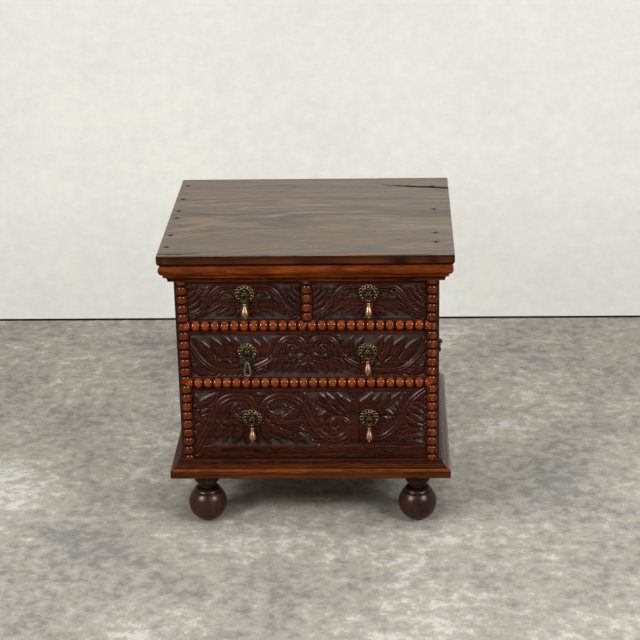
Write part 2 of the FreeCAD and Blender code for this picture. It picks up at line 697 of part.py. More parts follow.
def pear_drop(x, z, pear_radius):
    """Return a cast drop that hangs from a cotter's eye."""
    head = Part.makeTorus(HEAD_RADIUS, HEAD_WIRE, Vec(0, 0, -HEAD_RADIUS), Vec(0, 1, 0))
    pear = Part.Face(Part.Wire(pear_profile(pear_radius))).revolve(Vec(0, 0, 0), Vec(0, 0, 1), 360)
    drop = head.fuse(pear)
    drop.translate(Vec(x, CASE_FRONT - EYE_STANDOFF, z))
    return drop


def wire_loop(x, z):
    """Return the open iron loop that stands in for one lost pear drop."""
    eye_y = CASE_FRONT - EYE_STANDOFF
    head = Part.makeTorus(HEAD_RADIUS, LOOP_HEAD_WIRE, Vec(0, 0, -HEAD_RADIUS), Vec(0, 1, 0))
    middle = LOOP_LENGTH - LOOP_WIRE - LOOP_RADIUS
    fork = LOOP_LENGTH - LOOP_OPEN_LENGTH
    stem_head = Vec(0, 0, -2 * HEAD_RADIUS)
    stem = Part.makeCylinder(LOOP_STEM_RADIUS, fork - 2 * HEAD_RADIUS, stem_head, Vec(0, 0, -1))
    reach = middle - fork
    slant = math.asin(LOOP_RADIUS / reach)
    leg_length = reach * math.cos(slant)
    pieces = [stem]
    for side in (-1, 1):
        down = Vec(side * math.sin(slant), 0, -math.cos(slant))
        pieces.append(Part.makeCylinder(LOOP_WIRE, leg_length, Vec(0, 0, -fork), down))
    pieces.append(Part.makeSphere(LOOP_STEM_RADIUS, Vec(0, 0, -fork)))
    pieces.append(bottom_bow(middle, slant))
    loop = head.fuse(pieces)
    loop.translate(Vec(x, eye_y, z))
    return loop


def bottom_bow(middle, slant):
    """Return the wire loop's bow, tangent to both of its legs."""
    start = Vec(LOOP_RADIUS * math.cos(slant), 0, LOOP_RADIUS * math.sin(slant) - middle)
    end = Vec(-start.x, 0, start.z)
    spine = Part.Wire([arc(start, Vec(0, 0, -middle - LOOP_RADIUS), end)])
    along = Vec(math.sin(slant), 0, -math.cos(slant))
    ring = Part.Wire([Part.makeCircle(LOOP_WIRE, start, along)])
    return spine.makePipeShell([ring], True, False)


def front_place(x_range, z_range, shares):
    """Return a place on a drawer front, on the plane y = 0, from its shares."""
    middle = (x_range[0] + x_range[1]) / 2
    half = (x_range[1] - x_range[0]) / 2
    return Vec(middle + half * shares[0], 0, z_range[0] + (z_range[1] - z_range[0]) * shares[1])


def heading(degrees):
    """Return the unit vector of a heading on a drawer front."""
    turn = math.radians(degrees)
    return Vec(math.cos(turn), 0, math.sin(turn))


def arc_stations(first_heading, places):
    """Return the place and heading at each end and middle of a chain of tangent arcs."""
    along = heading(first_heading)
    stations = [(places[0], along)]
    for start, end in zip(places, places[1:]):
        half = (end - start) / 2
        chord = Vec(half).normalize()
        lean = along.dot(chord)
        middle = start + half + (along - chord * lean) * (half.Length / (1 + lean))
        stations.append((middle, chord))
        along = chord * (2 * lean) - along
        stations.append((end, along))
    return stations


def scroll_band(stations, first_width, last_width):
    """Return the face of a band that follows its stations, tapers and ends round."""
    last = len(stations) - 1
    left = []
    right = []
    for index, (place, along) in enumerate(stations):
        width = first_width + (last_width - first_width) * index / last
        across = Vec(-along.z, 0, along.x) * (width / 2)
        left.append(place + across)
        right.append(place - across)
    end, along = stations[last]
    edges = [arc(left[i], left[i + 1], left[i + 2]) for i in range(0, last, 2)]
    edges.append(arc(left[last], end + along * (last_width / 2), right[last]))
    edges += [arc(right[i], right[i - 1], right[i - 2]) for i in range(last, 0, -2)]
    edges.append(line(right[0], left[0]))
    return Part.Face(Part.Wire(edges))


def scrolls(rows, x_range, z_range, first_width, last_width):
    """Return the scroll bands of a drawer front."""
    bands = []
    for first_heading, shares in rows:
        places = [front_place(x_range, z_range, share) for share in shares]
        bands.append(scroll_band(arc_stations(first_heading, places), first_width, last_width))
    return bands


def leaf(root, degrees, length, side):
    """Return the face of a pointed leaf between two arcs, bent to one side."""
    along = heading(degrees)
    across = Vec(-along.z, 0, along.x) * LEAF_WIDTH
    tip = root + along * length
    middle = root + along * (length / 2) + across * (side * LEAF_BEND_SHARE)
    edges = [arc(root, middle + across / 2, tip), arc(tip, middle - across / 2, root)]
    return Part.Face(Part.Wire(edges))


def fans(rows, x_range, z_range):
    """Return the leaves of a drawer front's fans."""
    leaves = []
    height = z_range[1] - z_range[0]
    for root, headings, count, lengths, side in rows:
        place = front_place(x_range, z_range, root)
        for index in range(count):
            share = index / (count - 1)
            degrees = headings[0] + (headings[1] - headings[0]) * share
            length = height * (lengths[0] + (lengths[1] - lengths[0]) * share)
            leaves.append(leaf(place, degrees, length, side))
    return leaves


def bottom_forms(x_range, z_range):
    """Return the faces of the bottom drawer's scrolls, leaves, stem and shield."""
    forms = scrolls(BOTTOM_SCROLL_SHARES, x_range, z_range, SCROLL_WIDTH, SCROLL_END_WIDTH)
    forms += fans(BOTTOM_FAN_SHARES, x_range, z_range)
    shield = front_place(x_range, z_range, SHIELD_SHARES)
    forms.append(Part.Face(Part.Wire(Part.makeCircle(SHIELD_RADIUS, shield, Vec(0, 1, 0)))))
    aside = Vec(STEM_WIDTH / 2, 0, 0)
    foot = Vec(shield.x, 0, z_range[0])
    corners = [foot - aside, foot + aside, shield + aside, shield - aside]
    forms.append(Part.Face(Part.makePolygon(corners + corners[:1])))
    return forms


def middle_forms(x_range, z_range):
    """Return the faces of the left half of the middle drawer's scroll and leaves."""
    widths = (MIDDLE_SCROLL_WIDTH, MIDDLE_SCROLL_END_WIDTH)
    forms = scrolls(MIDDLE_SCROLL_SHARES, x_range, z_range, *widths)
    return forms + fans(MIDDLE_FAN_SHARES, x_range, z_range)


def top_forms(x_range, z_range):
    """Return the faces of the left half of a top drawer's arch, curl and leaves."""
    forms = scrolls(TOP_ARCH_SHARES, x_range, z_range, ARCH_WIDTH, ARCH_WIDTH)
    forms += scrolls(TOP_CURL_SHARES, x_range, z_range, CURL_WIDTH, CURL_WIDTH)
    return forms + fans(TOP_FAN_SHARES, x_range, z_range)


def carved_forms(name, x_range, z_range):
    """Return the faces of a drawer's carved forms; all but the bottom one are symmetrical."""
    if name == "bottom":
        return bottom_forms(x_range, z_range)
    forms = middle_forms(x_range, z_range) if name == "middle" else top_forms(x_range, z_range)
    middle = Vec((x_range[0] + x_range[1]) / 2, 0, 0)
    return forms + [form.mirror(middle, Vec(1, 0, 0)) for form in forms]


def sunk_ground(name, x_range, z_range, pulls):
    """Return what the carver takes from a drawer front, down to the ground between the forms."""
    foot = BOTTOM_BAND_HEIGHT if name == "bottom" else CARVING_MARGIN
    head = TOP_CARVING_HEAD_MARGIN if name.startswith("top") else CARVING_HEAD_MARGIN
    ground_x = (x_range[0] + CARVING_MARGIN, x_range[1] - CARVING_MARGIN)
    ground_y = (CASE_FRONT - CARVING_DEPTH, CASE_FRONT + CARVING_DEPTH)
    ground = box(ground_x, ground_y, (z_range[0] + foot, z_range[1] - head))
    forms = []
    for face in carved_forms(name, x_range, z_range):
        face.translate(Vec(0, ground_y[0] - CARVING_DEPTH, 0))
        forms.append(face.extrude(Vec(0, 4 * CARVING_DEPTH, 0)))
    for x, z in pulls:
        seat = Vec(x, ground_y[0], z)
        forms.append(Part.makeCylinder(PULL_SEAT_RADIUS, 2 * CARVING_DEPTH, seat, Vec(0, 1, 0)))
    return ground.cut(forms)


def drawer_front(name, x_range, z_range, pulls):
    """Return a carved drawer front with rebates for the sides and bottom."""
    lap = CASE_FRONT + FRONT_THICK - FRONT_REBATE
    face = box(x_range, (CASE_FRONT, lap), z_range)
    inner_x = (x_range[0] + DRAWER_SIDE_THICK, x_range[1] - DRAWER_SIDE_THICK)
    inner_z = (z_range[0] + DRAWER_BOTTOM_THICK, z_range[1])
    inner = box(inner_x, (lap, CASE_FRONT + FRONT_THICK), inner_z)
    front = face.fuse(inner).removeSplitter()
    holes = [cotter_hole(x, z) for x, z in pulls]
    return front.cut(sunk_ground(name, x_range, z_range, pulls)).cut(holes)


def drawer_box(x_range, z_range):
    """Return the two sides, the back and the bottom of a drawer."""
    lap = CASE_FRONT + FRONT_THICK - FRONT_REBATE
    back = BOARDS_BACK - BACK_GAP
    floor = z_range[0] + DRAWER_BOTTOM_THICK
    side_z = (floor, z_range[1] - DRAWER_SIDE_DROP)
    left_x = x_range[0] + DRAWER_SIDE_THICK
    right_x = x_range[1] - DRAWER_SIDE_THICK
    sides = [box((x_range[0], left_x), (lap, back), side_z), box((right_x, x_range[1]), (lap, back), side_z)]
    back_board = box((left_x, right_x), (back - DRAWER_BACK_THICK, back), side_z)
    bottom = box(x_range, (lap, back), (z_range[0], floor))
    return sides, back_board, bottom


def drawers():
    """Return each drawer's name, width, height and pulls as (x, z)."""
    wide = (-INNER_X + DRAWER_GAP, INNER_X - DRAWER_GAP)
    inner = MUNTIN_WIDTH / 2 + DRAWER_GAP
    top_z = (TOP_SILL + RUNNING_GAP, CORNICE_FOOT - DRAWER_GAP)
    middle_z = (MIDDLE_SILL + RUNNING_GAP, UPPER_RAIL - DRAWER_GAP)
    bottom_z = (BOTTOM_SILL + RUNNING_GAP, LOWER_RAIL - DRAWER_GAP)
    top_pull = TOP_SILL + PULL_HEIGHT_TOP
    middle_pull = MIDDLE_SILL + PULL_HEIGHT_MIDDLE
    bottom_pull = BOTTOM_SILL + PULL_HEIGHT_BOTTOM
    return {
        "top_left": ((wide[0], -inner), top_z, {"top_left": (-PULL_X_TOP, top_pull)}),
        "top_right": ((inner, wide[1]), top_z, {"top_right": (PULL_X_TOP, top_pull)}),
        "middle": (
            wide,
            middle_z,
            {
                "middle_left": (PULL_X_MIDDLE_LEFT, middle_pull),
                "middle_right": (PULL_X_MIDDLE_RIGHT, middle_pull),
            },
        ),
        "bottom": (
            wide,
            bottom_z,
            {
                "bottom_left": (PULL_X_BOTTOM_LEFT, bottom_pull),
                "bottom_right": (PULL_X_BOTTOM_RIGHT, bottom_pull),
            },
        ),
    }


def ring_handle():
    """Return the right-hand ring and the staple that holds it."""
    hinge = Vec(CASE_X + RING_STANDOFF, RING_DEPTH_PLACE, RING_HEIGHT)
    ring = Part.makeTorus(RING_RADIUS, RING_WIRE, hinge - Vec(0, 0, RING_RADIUS), Vec(1, 0, 0))
    eye_radius = RING_WIRE + RING_CLEARANCE + RING_EYE_WIRE
    eye = Part.makeTorus(eye_radius, RING_EYE_WIRE, hinge, Vec(0, 1, 0))
    return ring, eye.fuse(ring_shank())


def ring_shank():
    """Return the right-hand staple's shank, driven into the case side."""
    start = CASE_X + RING_STANDOFF - RING_WIRE - RING_CLEARANCE - RING_EYE_WIRE
    length = start - CASE_X + RING_SHANK_LENGTH
    place = Vec(start, RING_DEPTH_PLACE, RING_HEIGHT)
    return Part.makeCylinder(RING_SHANK_RADIUS, length, place, Vec(-1, 0, 0))


def save_case():
    """Write the boards, rails, runners and mouldings of the case."""
    rails = {
        "top_rail": cross_rail(TOP_RAIL_DEPTH, CORNICE_FOOT, CORNICE_HEIGHT),
        "rail_upper": cross_rail(RAIL_DEPTH, UPPER_RAIL, RAIL_HEIGHT),
        "rail_lower": cross_rail(RAIL_DEPTH, LOWER_RAIL, RAIL_HEIGHT),
        "bottom_rail": cross_rail(RAIL_DEPTH, SIDE_FOOT, BOTTOM_RAIL_HEIGHT),
    }
    for name, rail in rails.items():
        save(name, rail)
    sockets = nail_sockets()
    right = case_side(list(rails.values()), sockets + [ring_shank()])
    save("side_right", right)
    left_sockets = [mirrored(socket) for socket in sockets]
    save("side_left", mirrored(case_side(list(rails.values()), left_sockets + [ring_shank()])))
    holes = Part.makeCompound([tenon_hole(place) for place in foot_places().values()])
    bottom = box((-CASE_X, CASE_X), (CASE_FRONT, CASE_BACK), (CASE_FOOT, SIDE_FOOT))
    save("bottom_board", bottom.cut(holes))
    save("back_boards", back_boards())
    save("muntin", muntin())
    save("side_runners", side_runners())
    save("centre_runner", centre_runner())
    save("kickers", kickers())
    front, rear = lid_boards()
    save("lid_board_front", front)
    save("lid_board_rear", rear)
    save("lid_nails", lid_nails())
    save_mouldings(Part.makeCompound(sockets))


def save_mouldings(sockets):
    """Write the cornice and plinth lengths."""
    sides = ("front", "left", "right")
    for side, length in zip(sides, mouldings(cornice_profile(), CORNICE_FOOT)):
        save("cornice_" + side, length.cut(sockets))
    for side, length in zip(sides, mouldings(plinth_profile(), CASE_FOOT)):
        save("plinth_" + side, length)


def save_beads():
    """Write the bead strings on the front of the case."""
    column = column_beads()
    save("beads_right", column)
    save("beads_left", mirrored(column))
    save("beads_rail_lower", rail_beads(LOWER_RAIL_MIDDLE))
    outline = strip_prism(muntin_outline())
    save("beads_rail_upper", rail_beads(UPPER_RAIL_MIDDLE).cut(outline))
    save("beads_muntin", upright_beads(0, UPPER_RAIL_MIDDLE, CORNICE_FOOT).common(outline))


def save_feet():
    """Write the feet and the blocks that they are tenoned through."""
    blocks = []
    for name, place in foot_places().items():
        turned = foot()
        turned.translate(place)
        save("foot_" + name, turned)
        blocks.append(corner_block(place).cut(tenon_hole(place)))
    save("corner_blocks", blocks)


def save_drawers():
    """Write the drawers, their pulls and the hanging drops."""
    for name, (x_range, z_range, pulls) in drawers().items():
        node = "drawer_" + name
        sides, back, bottom = drawer_box(x_range, z_range)
        save(node + "_front", drawer_front(name, x_range, z_range, pulls.values()))
        save(node + "_sides", sides)
        save(node + "_back", back)
        save(node + "_bottom", bottom)
        fittings = []
        for pull, (x, z) in pulls.items():
            fittings += [rosette(x, z), cotter(x, z)]
            if pull == "middle_left":
                drop = wire_loop(x, z)
            else:
                pear = DROP_PEAR_RADIUS_LARGE if pull == "top_left" else DROP_PEAR_RADIUS
                drop = pear_drop(x, z, pear)
            save("drop_" + pull, drop)
        save(node + "_pulls", fittings)


def save_rings():
    """Write the ring handles and their staples."""
    ring, staple = ring_handle()
    save("ring_right", ring)
    save("ring_left", mirrored(ring))
    save("ring_staples", [staple, mirrored(staple)])


os.makedirs("parts", exist_ok=True)
save_case()
save_beads()
save_feet()
save_drawers()
save_rings()
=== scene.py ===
"""A small carved oak chest of drawers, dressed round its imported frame.

Lengths in the classes are millimetres in the chest's own frame: +X is to the right of someone
who faces the drawers, -Y is towards them and +Z is up. Meshes are written in metres.
"""
import json
import logging
import math
from collections.abc import Iterable, Sequence
from dataclasses import dataclass, field
from enum import Enum

import bmesh
import bpy
import numpy as np
from mathutils import Matrix, Vector

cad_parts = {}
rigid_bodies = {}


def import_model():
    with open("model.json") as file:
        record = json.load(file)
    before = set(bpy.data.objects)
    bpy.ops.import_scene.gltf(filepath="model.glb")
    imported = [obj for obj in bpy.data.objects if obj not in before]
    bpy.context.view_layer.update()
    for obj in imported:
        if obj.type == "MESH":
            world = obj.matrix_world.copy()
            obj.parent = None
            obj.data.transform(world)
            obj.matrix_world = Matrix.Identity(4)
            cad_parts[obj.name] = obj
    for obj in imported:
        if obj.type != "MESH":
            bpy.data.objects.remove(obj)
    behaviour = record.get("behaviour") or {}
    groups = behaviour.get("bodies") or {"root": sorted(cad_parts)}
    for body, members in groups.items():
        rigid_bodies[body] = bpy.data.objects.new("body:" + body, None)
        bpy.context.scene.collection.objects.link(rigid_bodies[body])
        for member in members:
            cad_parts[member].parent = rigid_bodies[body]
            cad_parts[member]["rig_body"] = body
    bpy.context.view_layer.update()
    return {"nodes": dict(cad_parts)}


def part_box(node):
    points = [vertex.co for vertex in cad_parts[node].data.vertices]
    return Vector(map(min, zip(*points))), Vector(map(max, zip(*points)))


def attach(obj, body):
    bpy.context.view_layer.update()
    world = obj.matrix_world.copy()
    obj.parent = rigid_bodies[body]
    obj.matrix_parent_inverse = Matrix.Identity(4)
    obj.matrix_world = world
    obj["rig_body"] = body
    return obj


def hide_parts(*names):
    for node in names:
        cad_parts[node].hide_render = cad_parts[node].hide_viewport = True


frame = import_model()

METRES = 0.001
LOG = logging.getLogger("chest")
DRAWERS = ("top_left", "top_right", "middle", "bottom")

Point = tuple[float, float]
Place = tuple[float, float, float]
Shape = tuple[np.ndarray, list[Sequence[int]]]
Window = tuple[slice, slice]
Beside = tuple[np.ndarray, np.ndarray, np.ndarray]
Socket = bpy.types.NodeSocket
NodeValue = Socket | bpy.types.Material | float | str | Sequence[float]
Settings = dict[str, object] | None
Inputs = dict[str | int, NodeValue] | None


def body_of(node: str) -> str:
    """Return the name of the body that a CAD node rides on.

    Args:
        node: name of the CAD node.

    Returns:
        The body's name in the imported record.
    """
    return frame["nodes"][node]["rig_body"]


def linear(code: str) -> tuple[float, float, float, float]:
    """Turn an sRGB hex colour into a linear colour with alpha.

    Args:
        code: the colour as "#rrggbb".

    Returns:
        Linear red, green, blue and an alpha of one.
    """
    values = [int(code[i:i + 2], 16) / 255 for i in (1, 3, 5)]
    red, green, blue = (v / 12.92 if v <= 0.04045 else ((v + 0.055) / 1.055) ** 2.4 for v in values)
    return red, green, blue, 1.0


def add_node(
    tree: bpy.types.NodeTree, kind: str, settings: Settings = None, inputs: Inputs = None
) -> bpy.types.Node:
    """Add a node with its settings and its inputs, each a value or a socket to link.

    Args:
        tree: the node tree to add to.
        kind: the node's type name.
        settings: attributes of the node.
        inputs: values or output sockets, by the input's name or index.

    Returns:
        The new node.
    """
    node = tree.nodes.new(kind)
    for name, value in (settings or {}).items():
        setattr(node, name, value)
    for key, value in (inputs or {}).items():
        if isinstance(value, Socket):
            tree.links.new(value, node.inputs[key])
        else:
            node.inputs[key].default_value = value
    return node


def smooth(values: np.ndarray) -> np.ndarray:
    """Return a smooth step of values from 0 to 1, held outside that range."""
    held = np.clip(values, 0.0, 1.0)
    return held * held * (3 - 2 * held)


def soft_noise(shape: tuple[int, int], cell: float, seed: int) -> np.ndarray:
    """Return smooth random values from -1 to 1 on a grid.

    Args:
        shape: rows and columns of the grid.
        cell: grid steps between independent values.
        seed: fixed seed.

    Returns:
        An array of that shape.
    """
    rng = np.random.default_rng(seed)
    rows, columns = (int(n / cell) + 3 for n in shape)
    coarse = rng.uniform(-1, 1, (rows, columns))
    row_places, column_places = (np.arange(n) / cell for n in shape)
    row, column = row_places.astype(int), column_places.astype(int)
    up = smooth(row_places - row)[:, None]
    along = smooth(column_places - column)[None, :]
    ends = (coarse[side] for side in (row, row + 1))
    near, far = (end[:, column] * (1 - along) + end[:, column + 1] * along for end in ends)
    return near * (1 - up) + far * up


def spline(points: Sequence[Point], step: float) -> np.ndarray:
    """Return points along a smooth curve through the given ones.

    Args:
        points: places that the curve passes.
        step: greatest distance between the returned points.

    Returns:
        An array of places, one row each.
    """
    given = np.array(points, float)
    padded = np.vstack([2 * given[0] - given[1], given, 2 * given[-1] - given[-2]])
    pieces = []
    for a, b, c, d in zip(padded, padded[1:], padded[2:], padded[3:]):
        count = max(2, math.ceil(float(np.linalg.norm(c - b)) / step))
        t = np.linspace(0, 1, count, endpoint=False)[:, None]
        square, cube = 2 * a - 5 * b + 4 * c - d, 3 * b - a - 3 * c + d
        pieces.append(0.5 * (2 * b + (c - a) * t + square * t ** 2 + cube * t ** 3))
    return np.vstack([*pieces, given[-1:]])


def outward(mesh: bpy.types.Mesh, weld: float = 1e-6) -> None:
    """Merge a closed mesh's doubles and turn its faces outwards.

    Args:
        mesh: the mesh to mend.
        weld: greatest distance of doubles, in metres.
    """
    work = bmesh.new()
    work.from_mesh(mesh)
    bmesh.ops.remove_doubles(work, verts=work.verts, dist=weld)
    bmesh.ops.dissolve_degenerate(work, edges=work.edges, dist=weld)
    bmesh.ops.recalc_face_normals(work, faces=work.faces)
    work.to_mesh(mesh)
    work.free()


def window(xs: np.ndarray, ys: np.ndarray, places: np.ndarray, reach: float) -> Window:
    """Return the part of a grid that lies within reach of some places.

    Args:
        xs: the grid's columns.
        ys: the grid's rows.
        places: x and y of each place.
        reach: how far the window stands out from them.

    Returns:
        Its rows and columns.
    """
    low, high = places.min(0) - reach, places.max(0) + reach
    left, right = np.searchsorted(xs, (low[0], high[0]))
    foot, head = np.searchsorted(ys, (low[1], high[1]))
    return slice(foot, head), slice(left, right)


def arc_points(start: Point, middle: Point, end: Point, count: int) -> list[Point]:
    """Return points on the arc through three places, without the last one."""
    (ax, ay), (bx, by), (cx, cy) = start, middle, end
    scale = 2 * (ax * (by - cy) + bx * (cy - ay) + cx * (ay - by))
    squares = [x * x + y * y for x, y in (start, middle, end)]
    ux = (squares[0] * (by - cy) + squares[1] * (cy - ay) + squares[2] * (ay - by)) / scale
    uy = (squares[0] * (cx - bx) + squares[1] * (ax - cx) + squares[2] * (bx - ax)) / scale
    radius = math.hypot(ax - ux, ay - uy)
    first, through, last = (math.atan2(y - uy, x - ux) for x, y in (start, middle, end))
    turn = (last - first) % (2 * math.pi)
    if (through - first) % (2 * math.pi) > turn:
        turn -= 2 * math.pi
    angles = [first + turn * index / count for index in range(count)]
    return [(ux + radius * math.cos(a), uy + radius * math.sin(a)) for a in angles]


def straight_points(start: Point, end: Point, step: float) -> list[Point]:
    """Return points on a straight stretch, without the last one."""
    count = max(1, round(math.dist(start, end) / step))
    return [
        (start[0] + (end[0] - start[0]) * index / count, start[1] + (end[1] - start[1]) * index / count)
        for index in range(count)
    ]


def make_piece(
    name: str,
    verts: np.ndarray,
    faces: Iterable[Sequence[int]],
    attributes: dict[str, np.ndarray] | None = None,
    flat_angle: float = 40.0,
    mend: bool = True,
) -> bpy.types.Object:
    """Make a mesh object at the origin from places in millimetres.

    Args:
        name: the piece's name.
        verts: one row of x, y, z for each vertex, in millimetres.
        faces: vertex indices of each face.
        attributes: a value for each vertex, by the attribute's name.
        flat_angle: edges sharper than this many degrees stay sharp.
        mend: whether doubles are merged and faces turned outwards.

    Returns:
        The linked object.
    """
    mesh = bpy.data.meshes.new(name)
    mesh.from_pydata((np.asarray(verts, float) * METRES).tolist(), [], [list(map(int, f)) for f in faces])
    mesh.validate()
    for label, values in (attributes or {}).items():
        store = mesh.attributes.new(label, "FLOAT", "POINT")
        store.data.foreach_set("value", np.asarray(values, np.float32))
    if mend:
        outward(mesh)
    return link_piece(name, mesh, flat_angle)


def link_piece(name: str, mesh: bpy.types.Mesh, flat_angle: float = 40.0) -> bpy.types.Object:
    """Link a mesh as an object at the origin, shaded smooth but for its sharp edges."""
    mesh.shade_smooth()
    mesh.set_sharp_from_angle(angle=math.radians(flat_angle))
    piece = bpy.data.objects.new(name, mesh)
    bpy.context.scene.collection.objects.link(piece)
    return piece


def grid_faces(rows: int, columns: int, start: int = 0, turn: bool = False) -> np.ndarray:
    """Return the quads of a grid of vertices stored row by row.

    Args:
        rows: rows of vertices.
        columns: vertices in a row.
        start: index of the first vertex.
        turn: whether the faces point the other way.

    Returns:
        Four indices for each quad.
    """
    corner = (np.arange(rows - 1)[:, None] * columns + np.arange(columns - 1)[None, :]).ravel() + start
    quads = np.stack([corner, corner + 1, corner + columns + 1, corner + columns], axis=1)
    return quads[:, ::-1] if turn else quads


def loft(rings: np.ndarray, closed: bool, caps: bool) -> Shape:
    """Return the vertices and faces of a surface over rings of points.

    Args:
        rings: array of ring, point in the ring, and x, y, z.
        closed: whether the last ring joins the first.
        caps: whether the end rings are filled.

    Returns:
        Vertices and faces.
    """
    count, around = rings.shape[:2]
    faces: list[Sequence[int]] = []
    for ring in range(count if closed else count - 1):
        this = ring * around
        following = (ring + 1) % count * around
        for place in range(around):
            after = (place + 1) % around
            faces.append([this + place, this + after, following + after, following + place])
    if caps:
        faces.append(list(range(around))[::-1])
        faces.append(list(range((count - 1) * around, count * around)))
    return rings.reshape(-1, 3), faces


def tube(path: np.ndarray, radius: float | np.ndarray, sides: int = 12, closed: bool = False) -> Shape:
    """Return a round tube along a path.

    Args:
        path: places of the centre line, one row each.
        radius: one radius, or one for each place.
        sides: points round the tube.
        closed: whether the path is a loop.

    Returns:
        Vertices and faces.
    """
    ahead = np.roll(path, -1, axis=0) - np.roll(path, 1, axis=0)
    if not closed:
        ahead[0] = path[1] - path[0]
        ahead[-1] = path[-1] - path[-2]
    ahead /= np.linalg.norm(ahead, axis=1)[:, None]
    first = np.cross(ahead[0], (0.31, 0.87, 0.38))
    normal = first / np.linalg.norm(first)
    radii = np.broadcast_to(np.asarray(radius, float), (len(path),))
    angles = np.linspace(0, 2 * math.pi, sides, endpoint=False)
    rings = []
    for place, direction, size in zip(path, ahead, radii):
        normal = normal - direction * (normal @ direction)
        normal /= np.linalg.norm(normal)
        across = np.cross(direction, normal)
        rings.append(place + size * (np.cos(angles)[:, None] * normal + np.sin(angles)[:, None] * across))
    return loft(np.array(rings), closed, not closed)


def lathe(profile: np.ndarray, sides: int) -> Shape:
    """Turn a profile of radius and height about the z axis.

    Args:
        profile: radius and height of each place, from the foot up, on the axis at both ends.
        sides: points round the axis.

    Returns:
        Vertices and faces.
    """
    angles = np.linspace(0, 2 * math.pi, sides, endpoint=False)
    inner = profile[1:-1]
    heights = np.repeat(inner[:, 1:], sides, axis=1)
    rings = np.stack([inner[:, :1] * np.cos(angles), inner[:, :1] * np.sin(angles), heights], axis=2)
    verts, faces = loft(rings, False, False)
    foot = len(verts)
    verts = np.vstack([verts, (0, 0, profile[0][1]), (0, 0, profile[-1][1])])
    last = foot - sides
    for place in range(sides):
        after = (place + 1) % sides
        faces.append([foot, after, place])
        faces.append([foot + 1, last + place, last + after])
    return verts, faces


def joined(parts: Sequence[Shape]) -> Shape:
    """Join several meshes into one list of vertices and faces."""
    verts: list[np.ndarray] = []
    faces: list[Sequence[int]] = []
    start = 0
    for part_verts, part_faces in parts:
        verts.append(np.asarray(part_verts, float))
        faces += [[start + int(index) for index in face] for face in part_faces]
        start += len(part_verts)
    return np.vstack(verts), faces


def mesh_places(mesh: bpy.types.Mesh) -> np.ndarray:
    """Return the places of a mesh's vertices, one row each."""
    flat = np.empty(len(mesh.vertices) * 3, np.float32)
    mesh.vertices.foreach_get("co", flat)
    return flat.reshape(-1, 3)


def place_mesh(name: str, mesh: bpy.types.Mesh, turn: np.ndarray, shift: Sequence[float]) -> bpy.types.Object:
    """Turn a millimetre mesh into its place in metres and link it as a piece.

    Args:
        name: the piece's name.
        mesh: mesh in millimetres.
        turn: three rows that turn the mesh's axes.
        shift: place of its origin in millimetres.

    Returns:
        The linked piece.
    """
    placed = (mesh_places(mesh) @ np.asarray(turn, float).T + np.asarray(shift, float)) * METRES
    mesh.vertices.foreach_set("co", placed.ravel().astype(np.float32))
    mesh.update()
    outward(mesh)
    return link_piece(name, mesh)


def settle(piece: bpy.types.Object, node: str) -> None:
    """Let a finished piece ride on its node's body and stand in the node's place.

    Args:
        piece: the finished piece.
        node: the CAD node that it replaces.
    """
    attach(piece, body_of(node))
    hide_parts(node)
    LOG.info("built %s with %d faces", piece.name, len(piece.data.polygons))


class Tree:
    """A node tree that is written as calls, each of which adds one node."""

    def __init__(self, tree: bpy.types.NodeTree) -> None:
        """Take an empty tree."""
        self.tree = tree

    def node(self, kind: str, settings: Settings = None, inputs: Inputs = None) -> bpy.types.Node:
        """Add any node and return it."""
        return add_node(self.tree, kind, settings, inputs)

    def get(self, kind: str, settings: Settings = None, inputs: Inputs = None) -> Socket:
        """Add any node and return its first output."""
        return self.node(kind, settings, inputs).outputs[0]

    def math(self, operation: str, *values: NodeValue) -> Socket:
        """Return the result of a math node."""
        return self.get("ShaderNodeMath", {"operation": operation}, dict(enumerate(values)))

    def step(
        self, value: Socket, none: NodeValue, full: NodeValue, low: float = 0, high: float = 1, soft: bool = True
    ) -> Socket:
        """Return a value carried from one range to another and held at its ends.

        Args:
            value: what is carried over.
            none: start of its own range.
            full: end of its own range.
            low: start of the new range.
            high: end of the new range.
            soft: whether it eases in and out.

        Returns:
            The mapped value.
        """
        ends = {"From Min": none, "From Max": full, "To Min": low, "To Max": high}
        kind = "SMOOTHSTEP" if soft else "LINEAR"
        return self.get("ShaderNodeMapRange", {"interpolation_type": kind}, {"Value": value, **ends})


class ShaderTree(Tree):
    """The node tree of a new material."""

    def __init__(self, name: str) -> None:
        """Start an empty material of that name."""
        self.material = bpy.data.materials.new(name)
        self.material.use_nodes = True
        self.material.node_tree.nodes.clear()
        super().__init__(self.material.node_tree)
        self.place = self.node("ShaderNodeTexCoord").outputs["Object"]

    def attribute(self, name: str) -> Socket:
        """Return a value that is stored on the mesh."""
        return self.node("ShaderNodeAttribute", {"attribute_name": name}).outputs["Fac"]

    def noise(self, place: Socket, scale: float, detail: float, roughness: float = 0.5) -> Socket:
        """Return soft noise from 0 to 1."""
        values = {"Vector": place, "Scale": scale, "Detail": detail, "Roughness": roughness}
        return self.get("ShaderNodeTexNoise", None, values)

    def mix(self, share: Socket, base: NodeValue, over: NodeValue) -> Socket:
        """Return one colour mixed over another."""
        return self.node("ShaderNodeMix", {"data_type": "RGBA"}, {0: share, 6: base, 7: over}).outputs[2]

    def ramp(self, value: Socket, stops: Sequence[tuple[float, str]]) -> Socket:
        """Return a colour read from a ramp of places and hex colours."""
        made = self.node("ShaderNodeValToRGB", None, {"Fac": value})
        elements = made.color_ramp.elements
        while len(elements) < len(stops):
            elements.new(0.5)
        for element, (place, code) in zip(elements, stops):
            element.position = place
            element.color = linear(code)
        return made.outputs[0]

    def finish(self, shader: Socket) -> bpy.types.Material:
        """End the tree in a shader and return the material."""
        self.node("ShaderNodeOutputMaterial", None, {"Surface": shader})
        return self.material


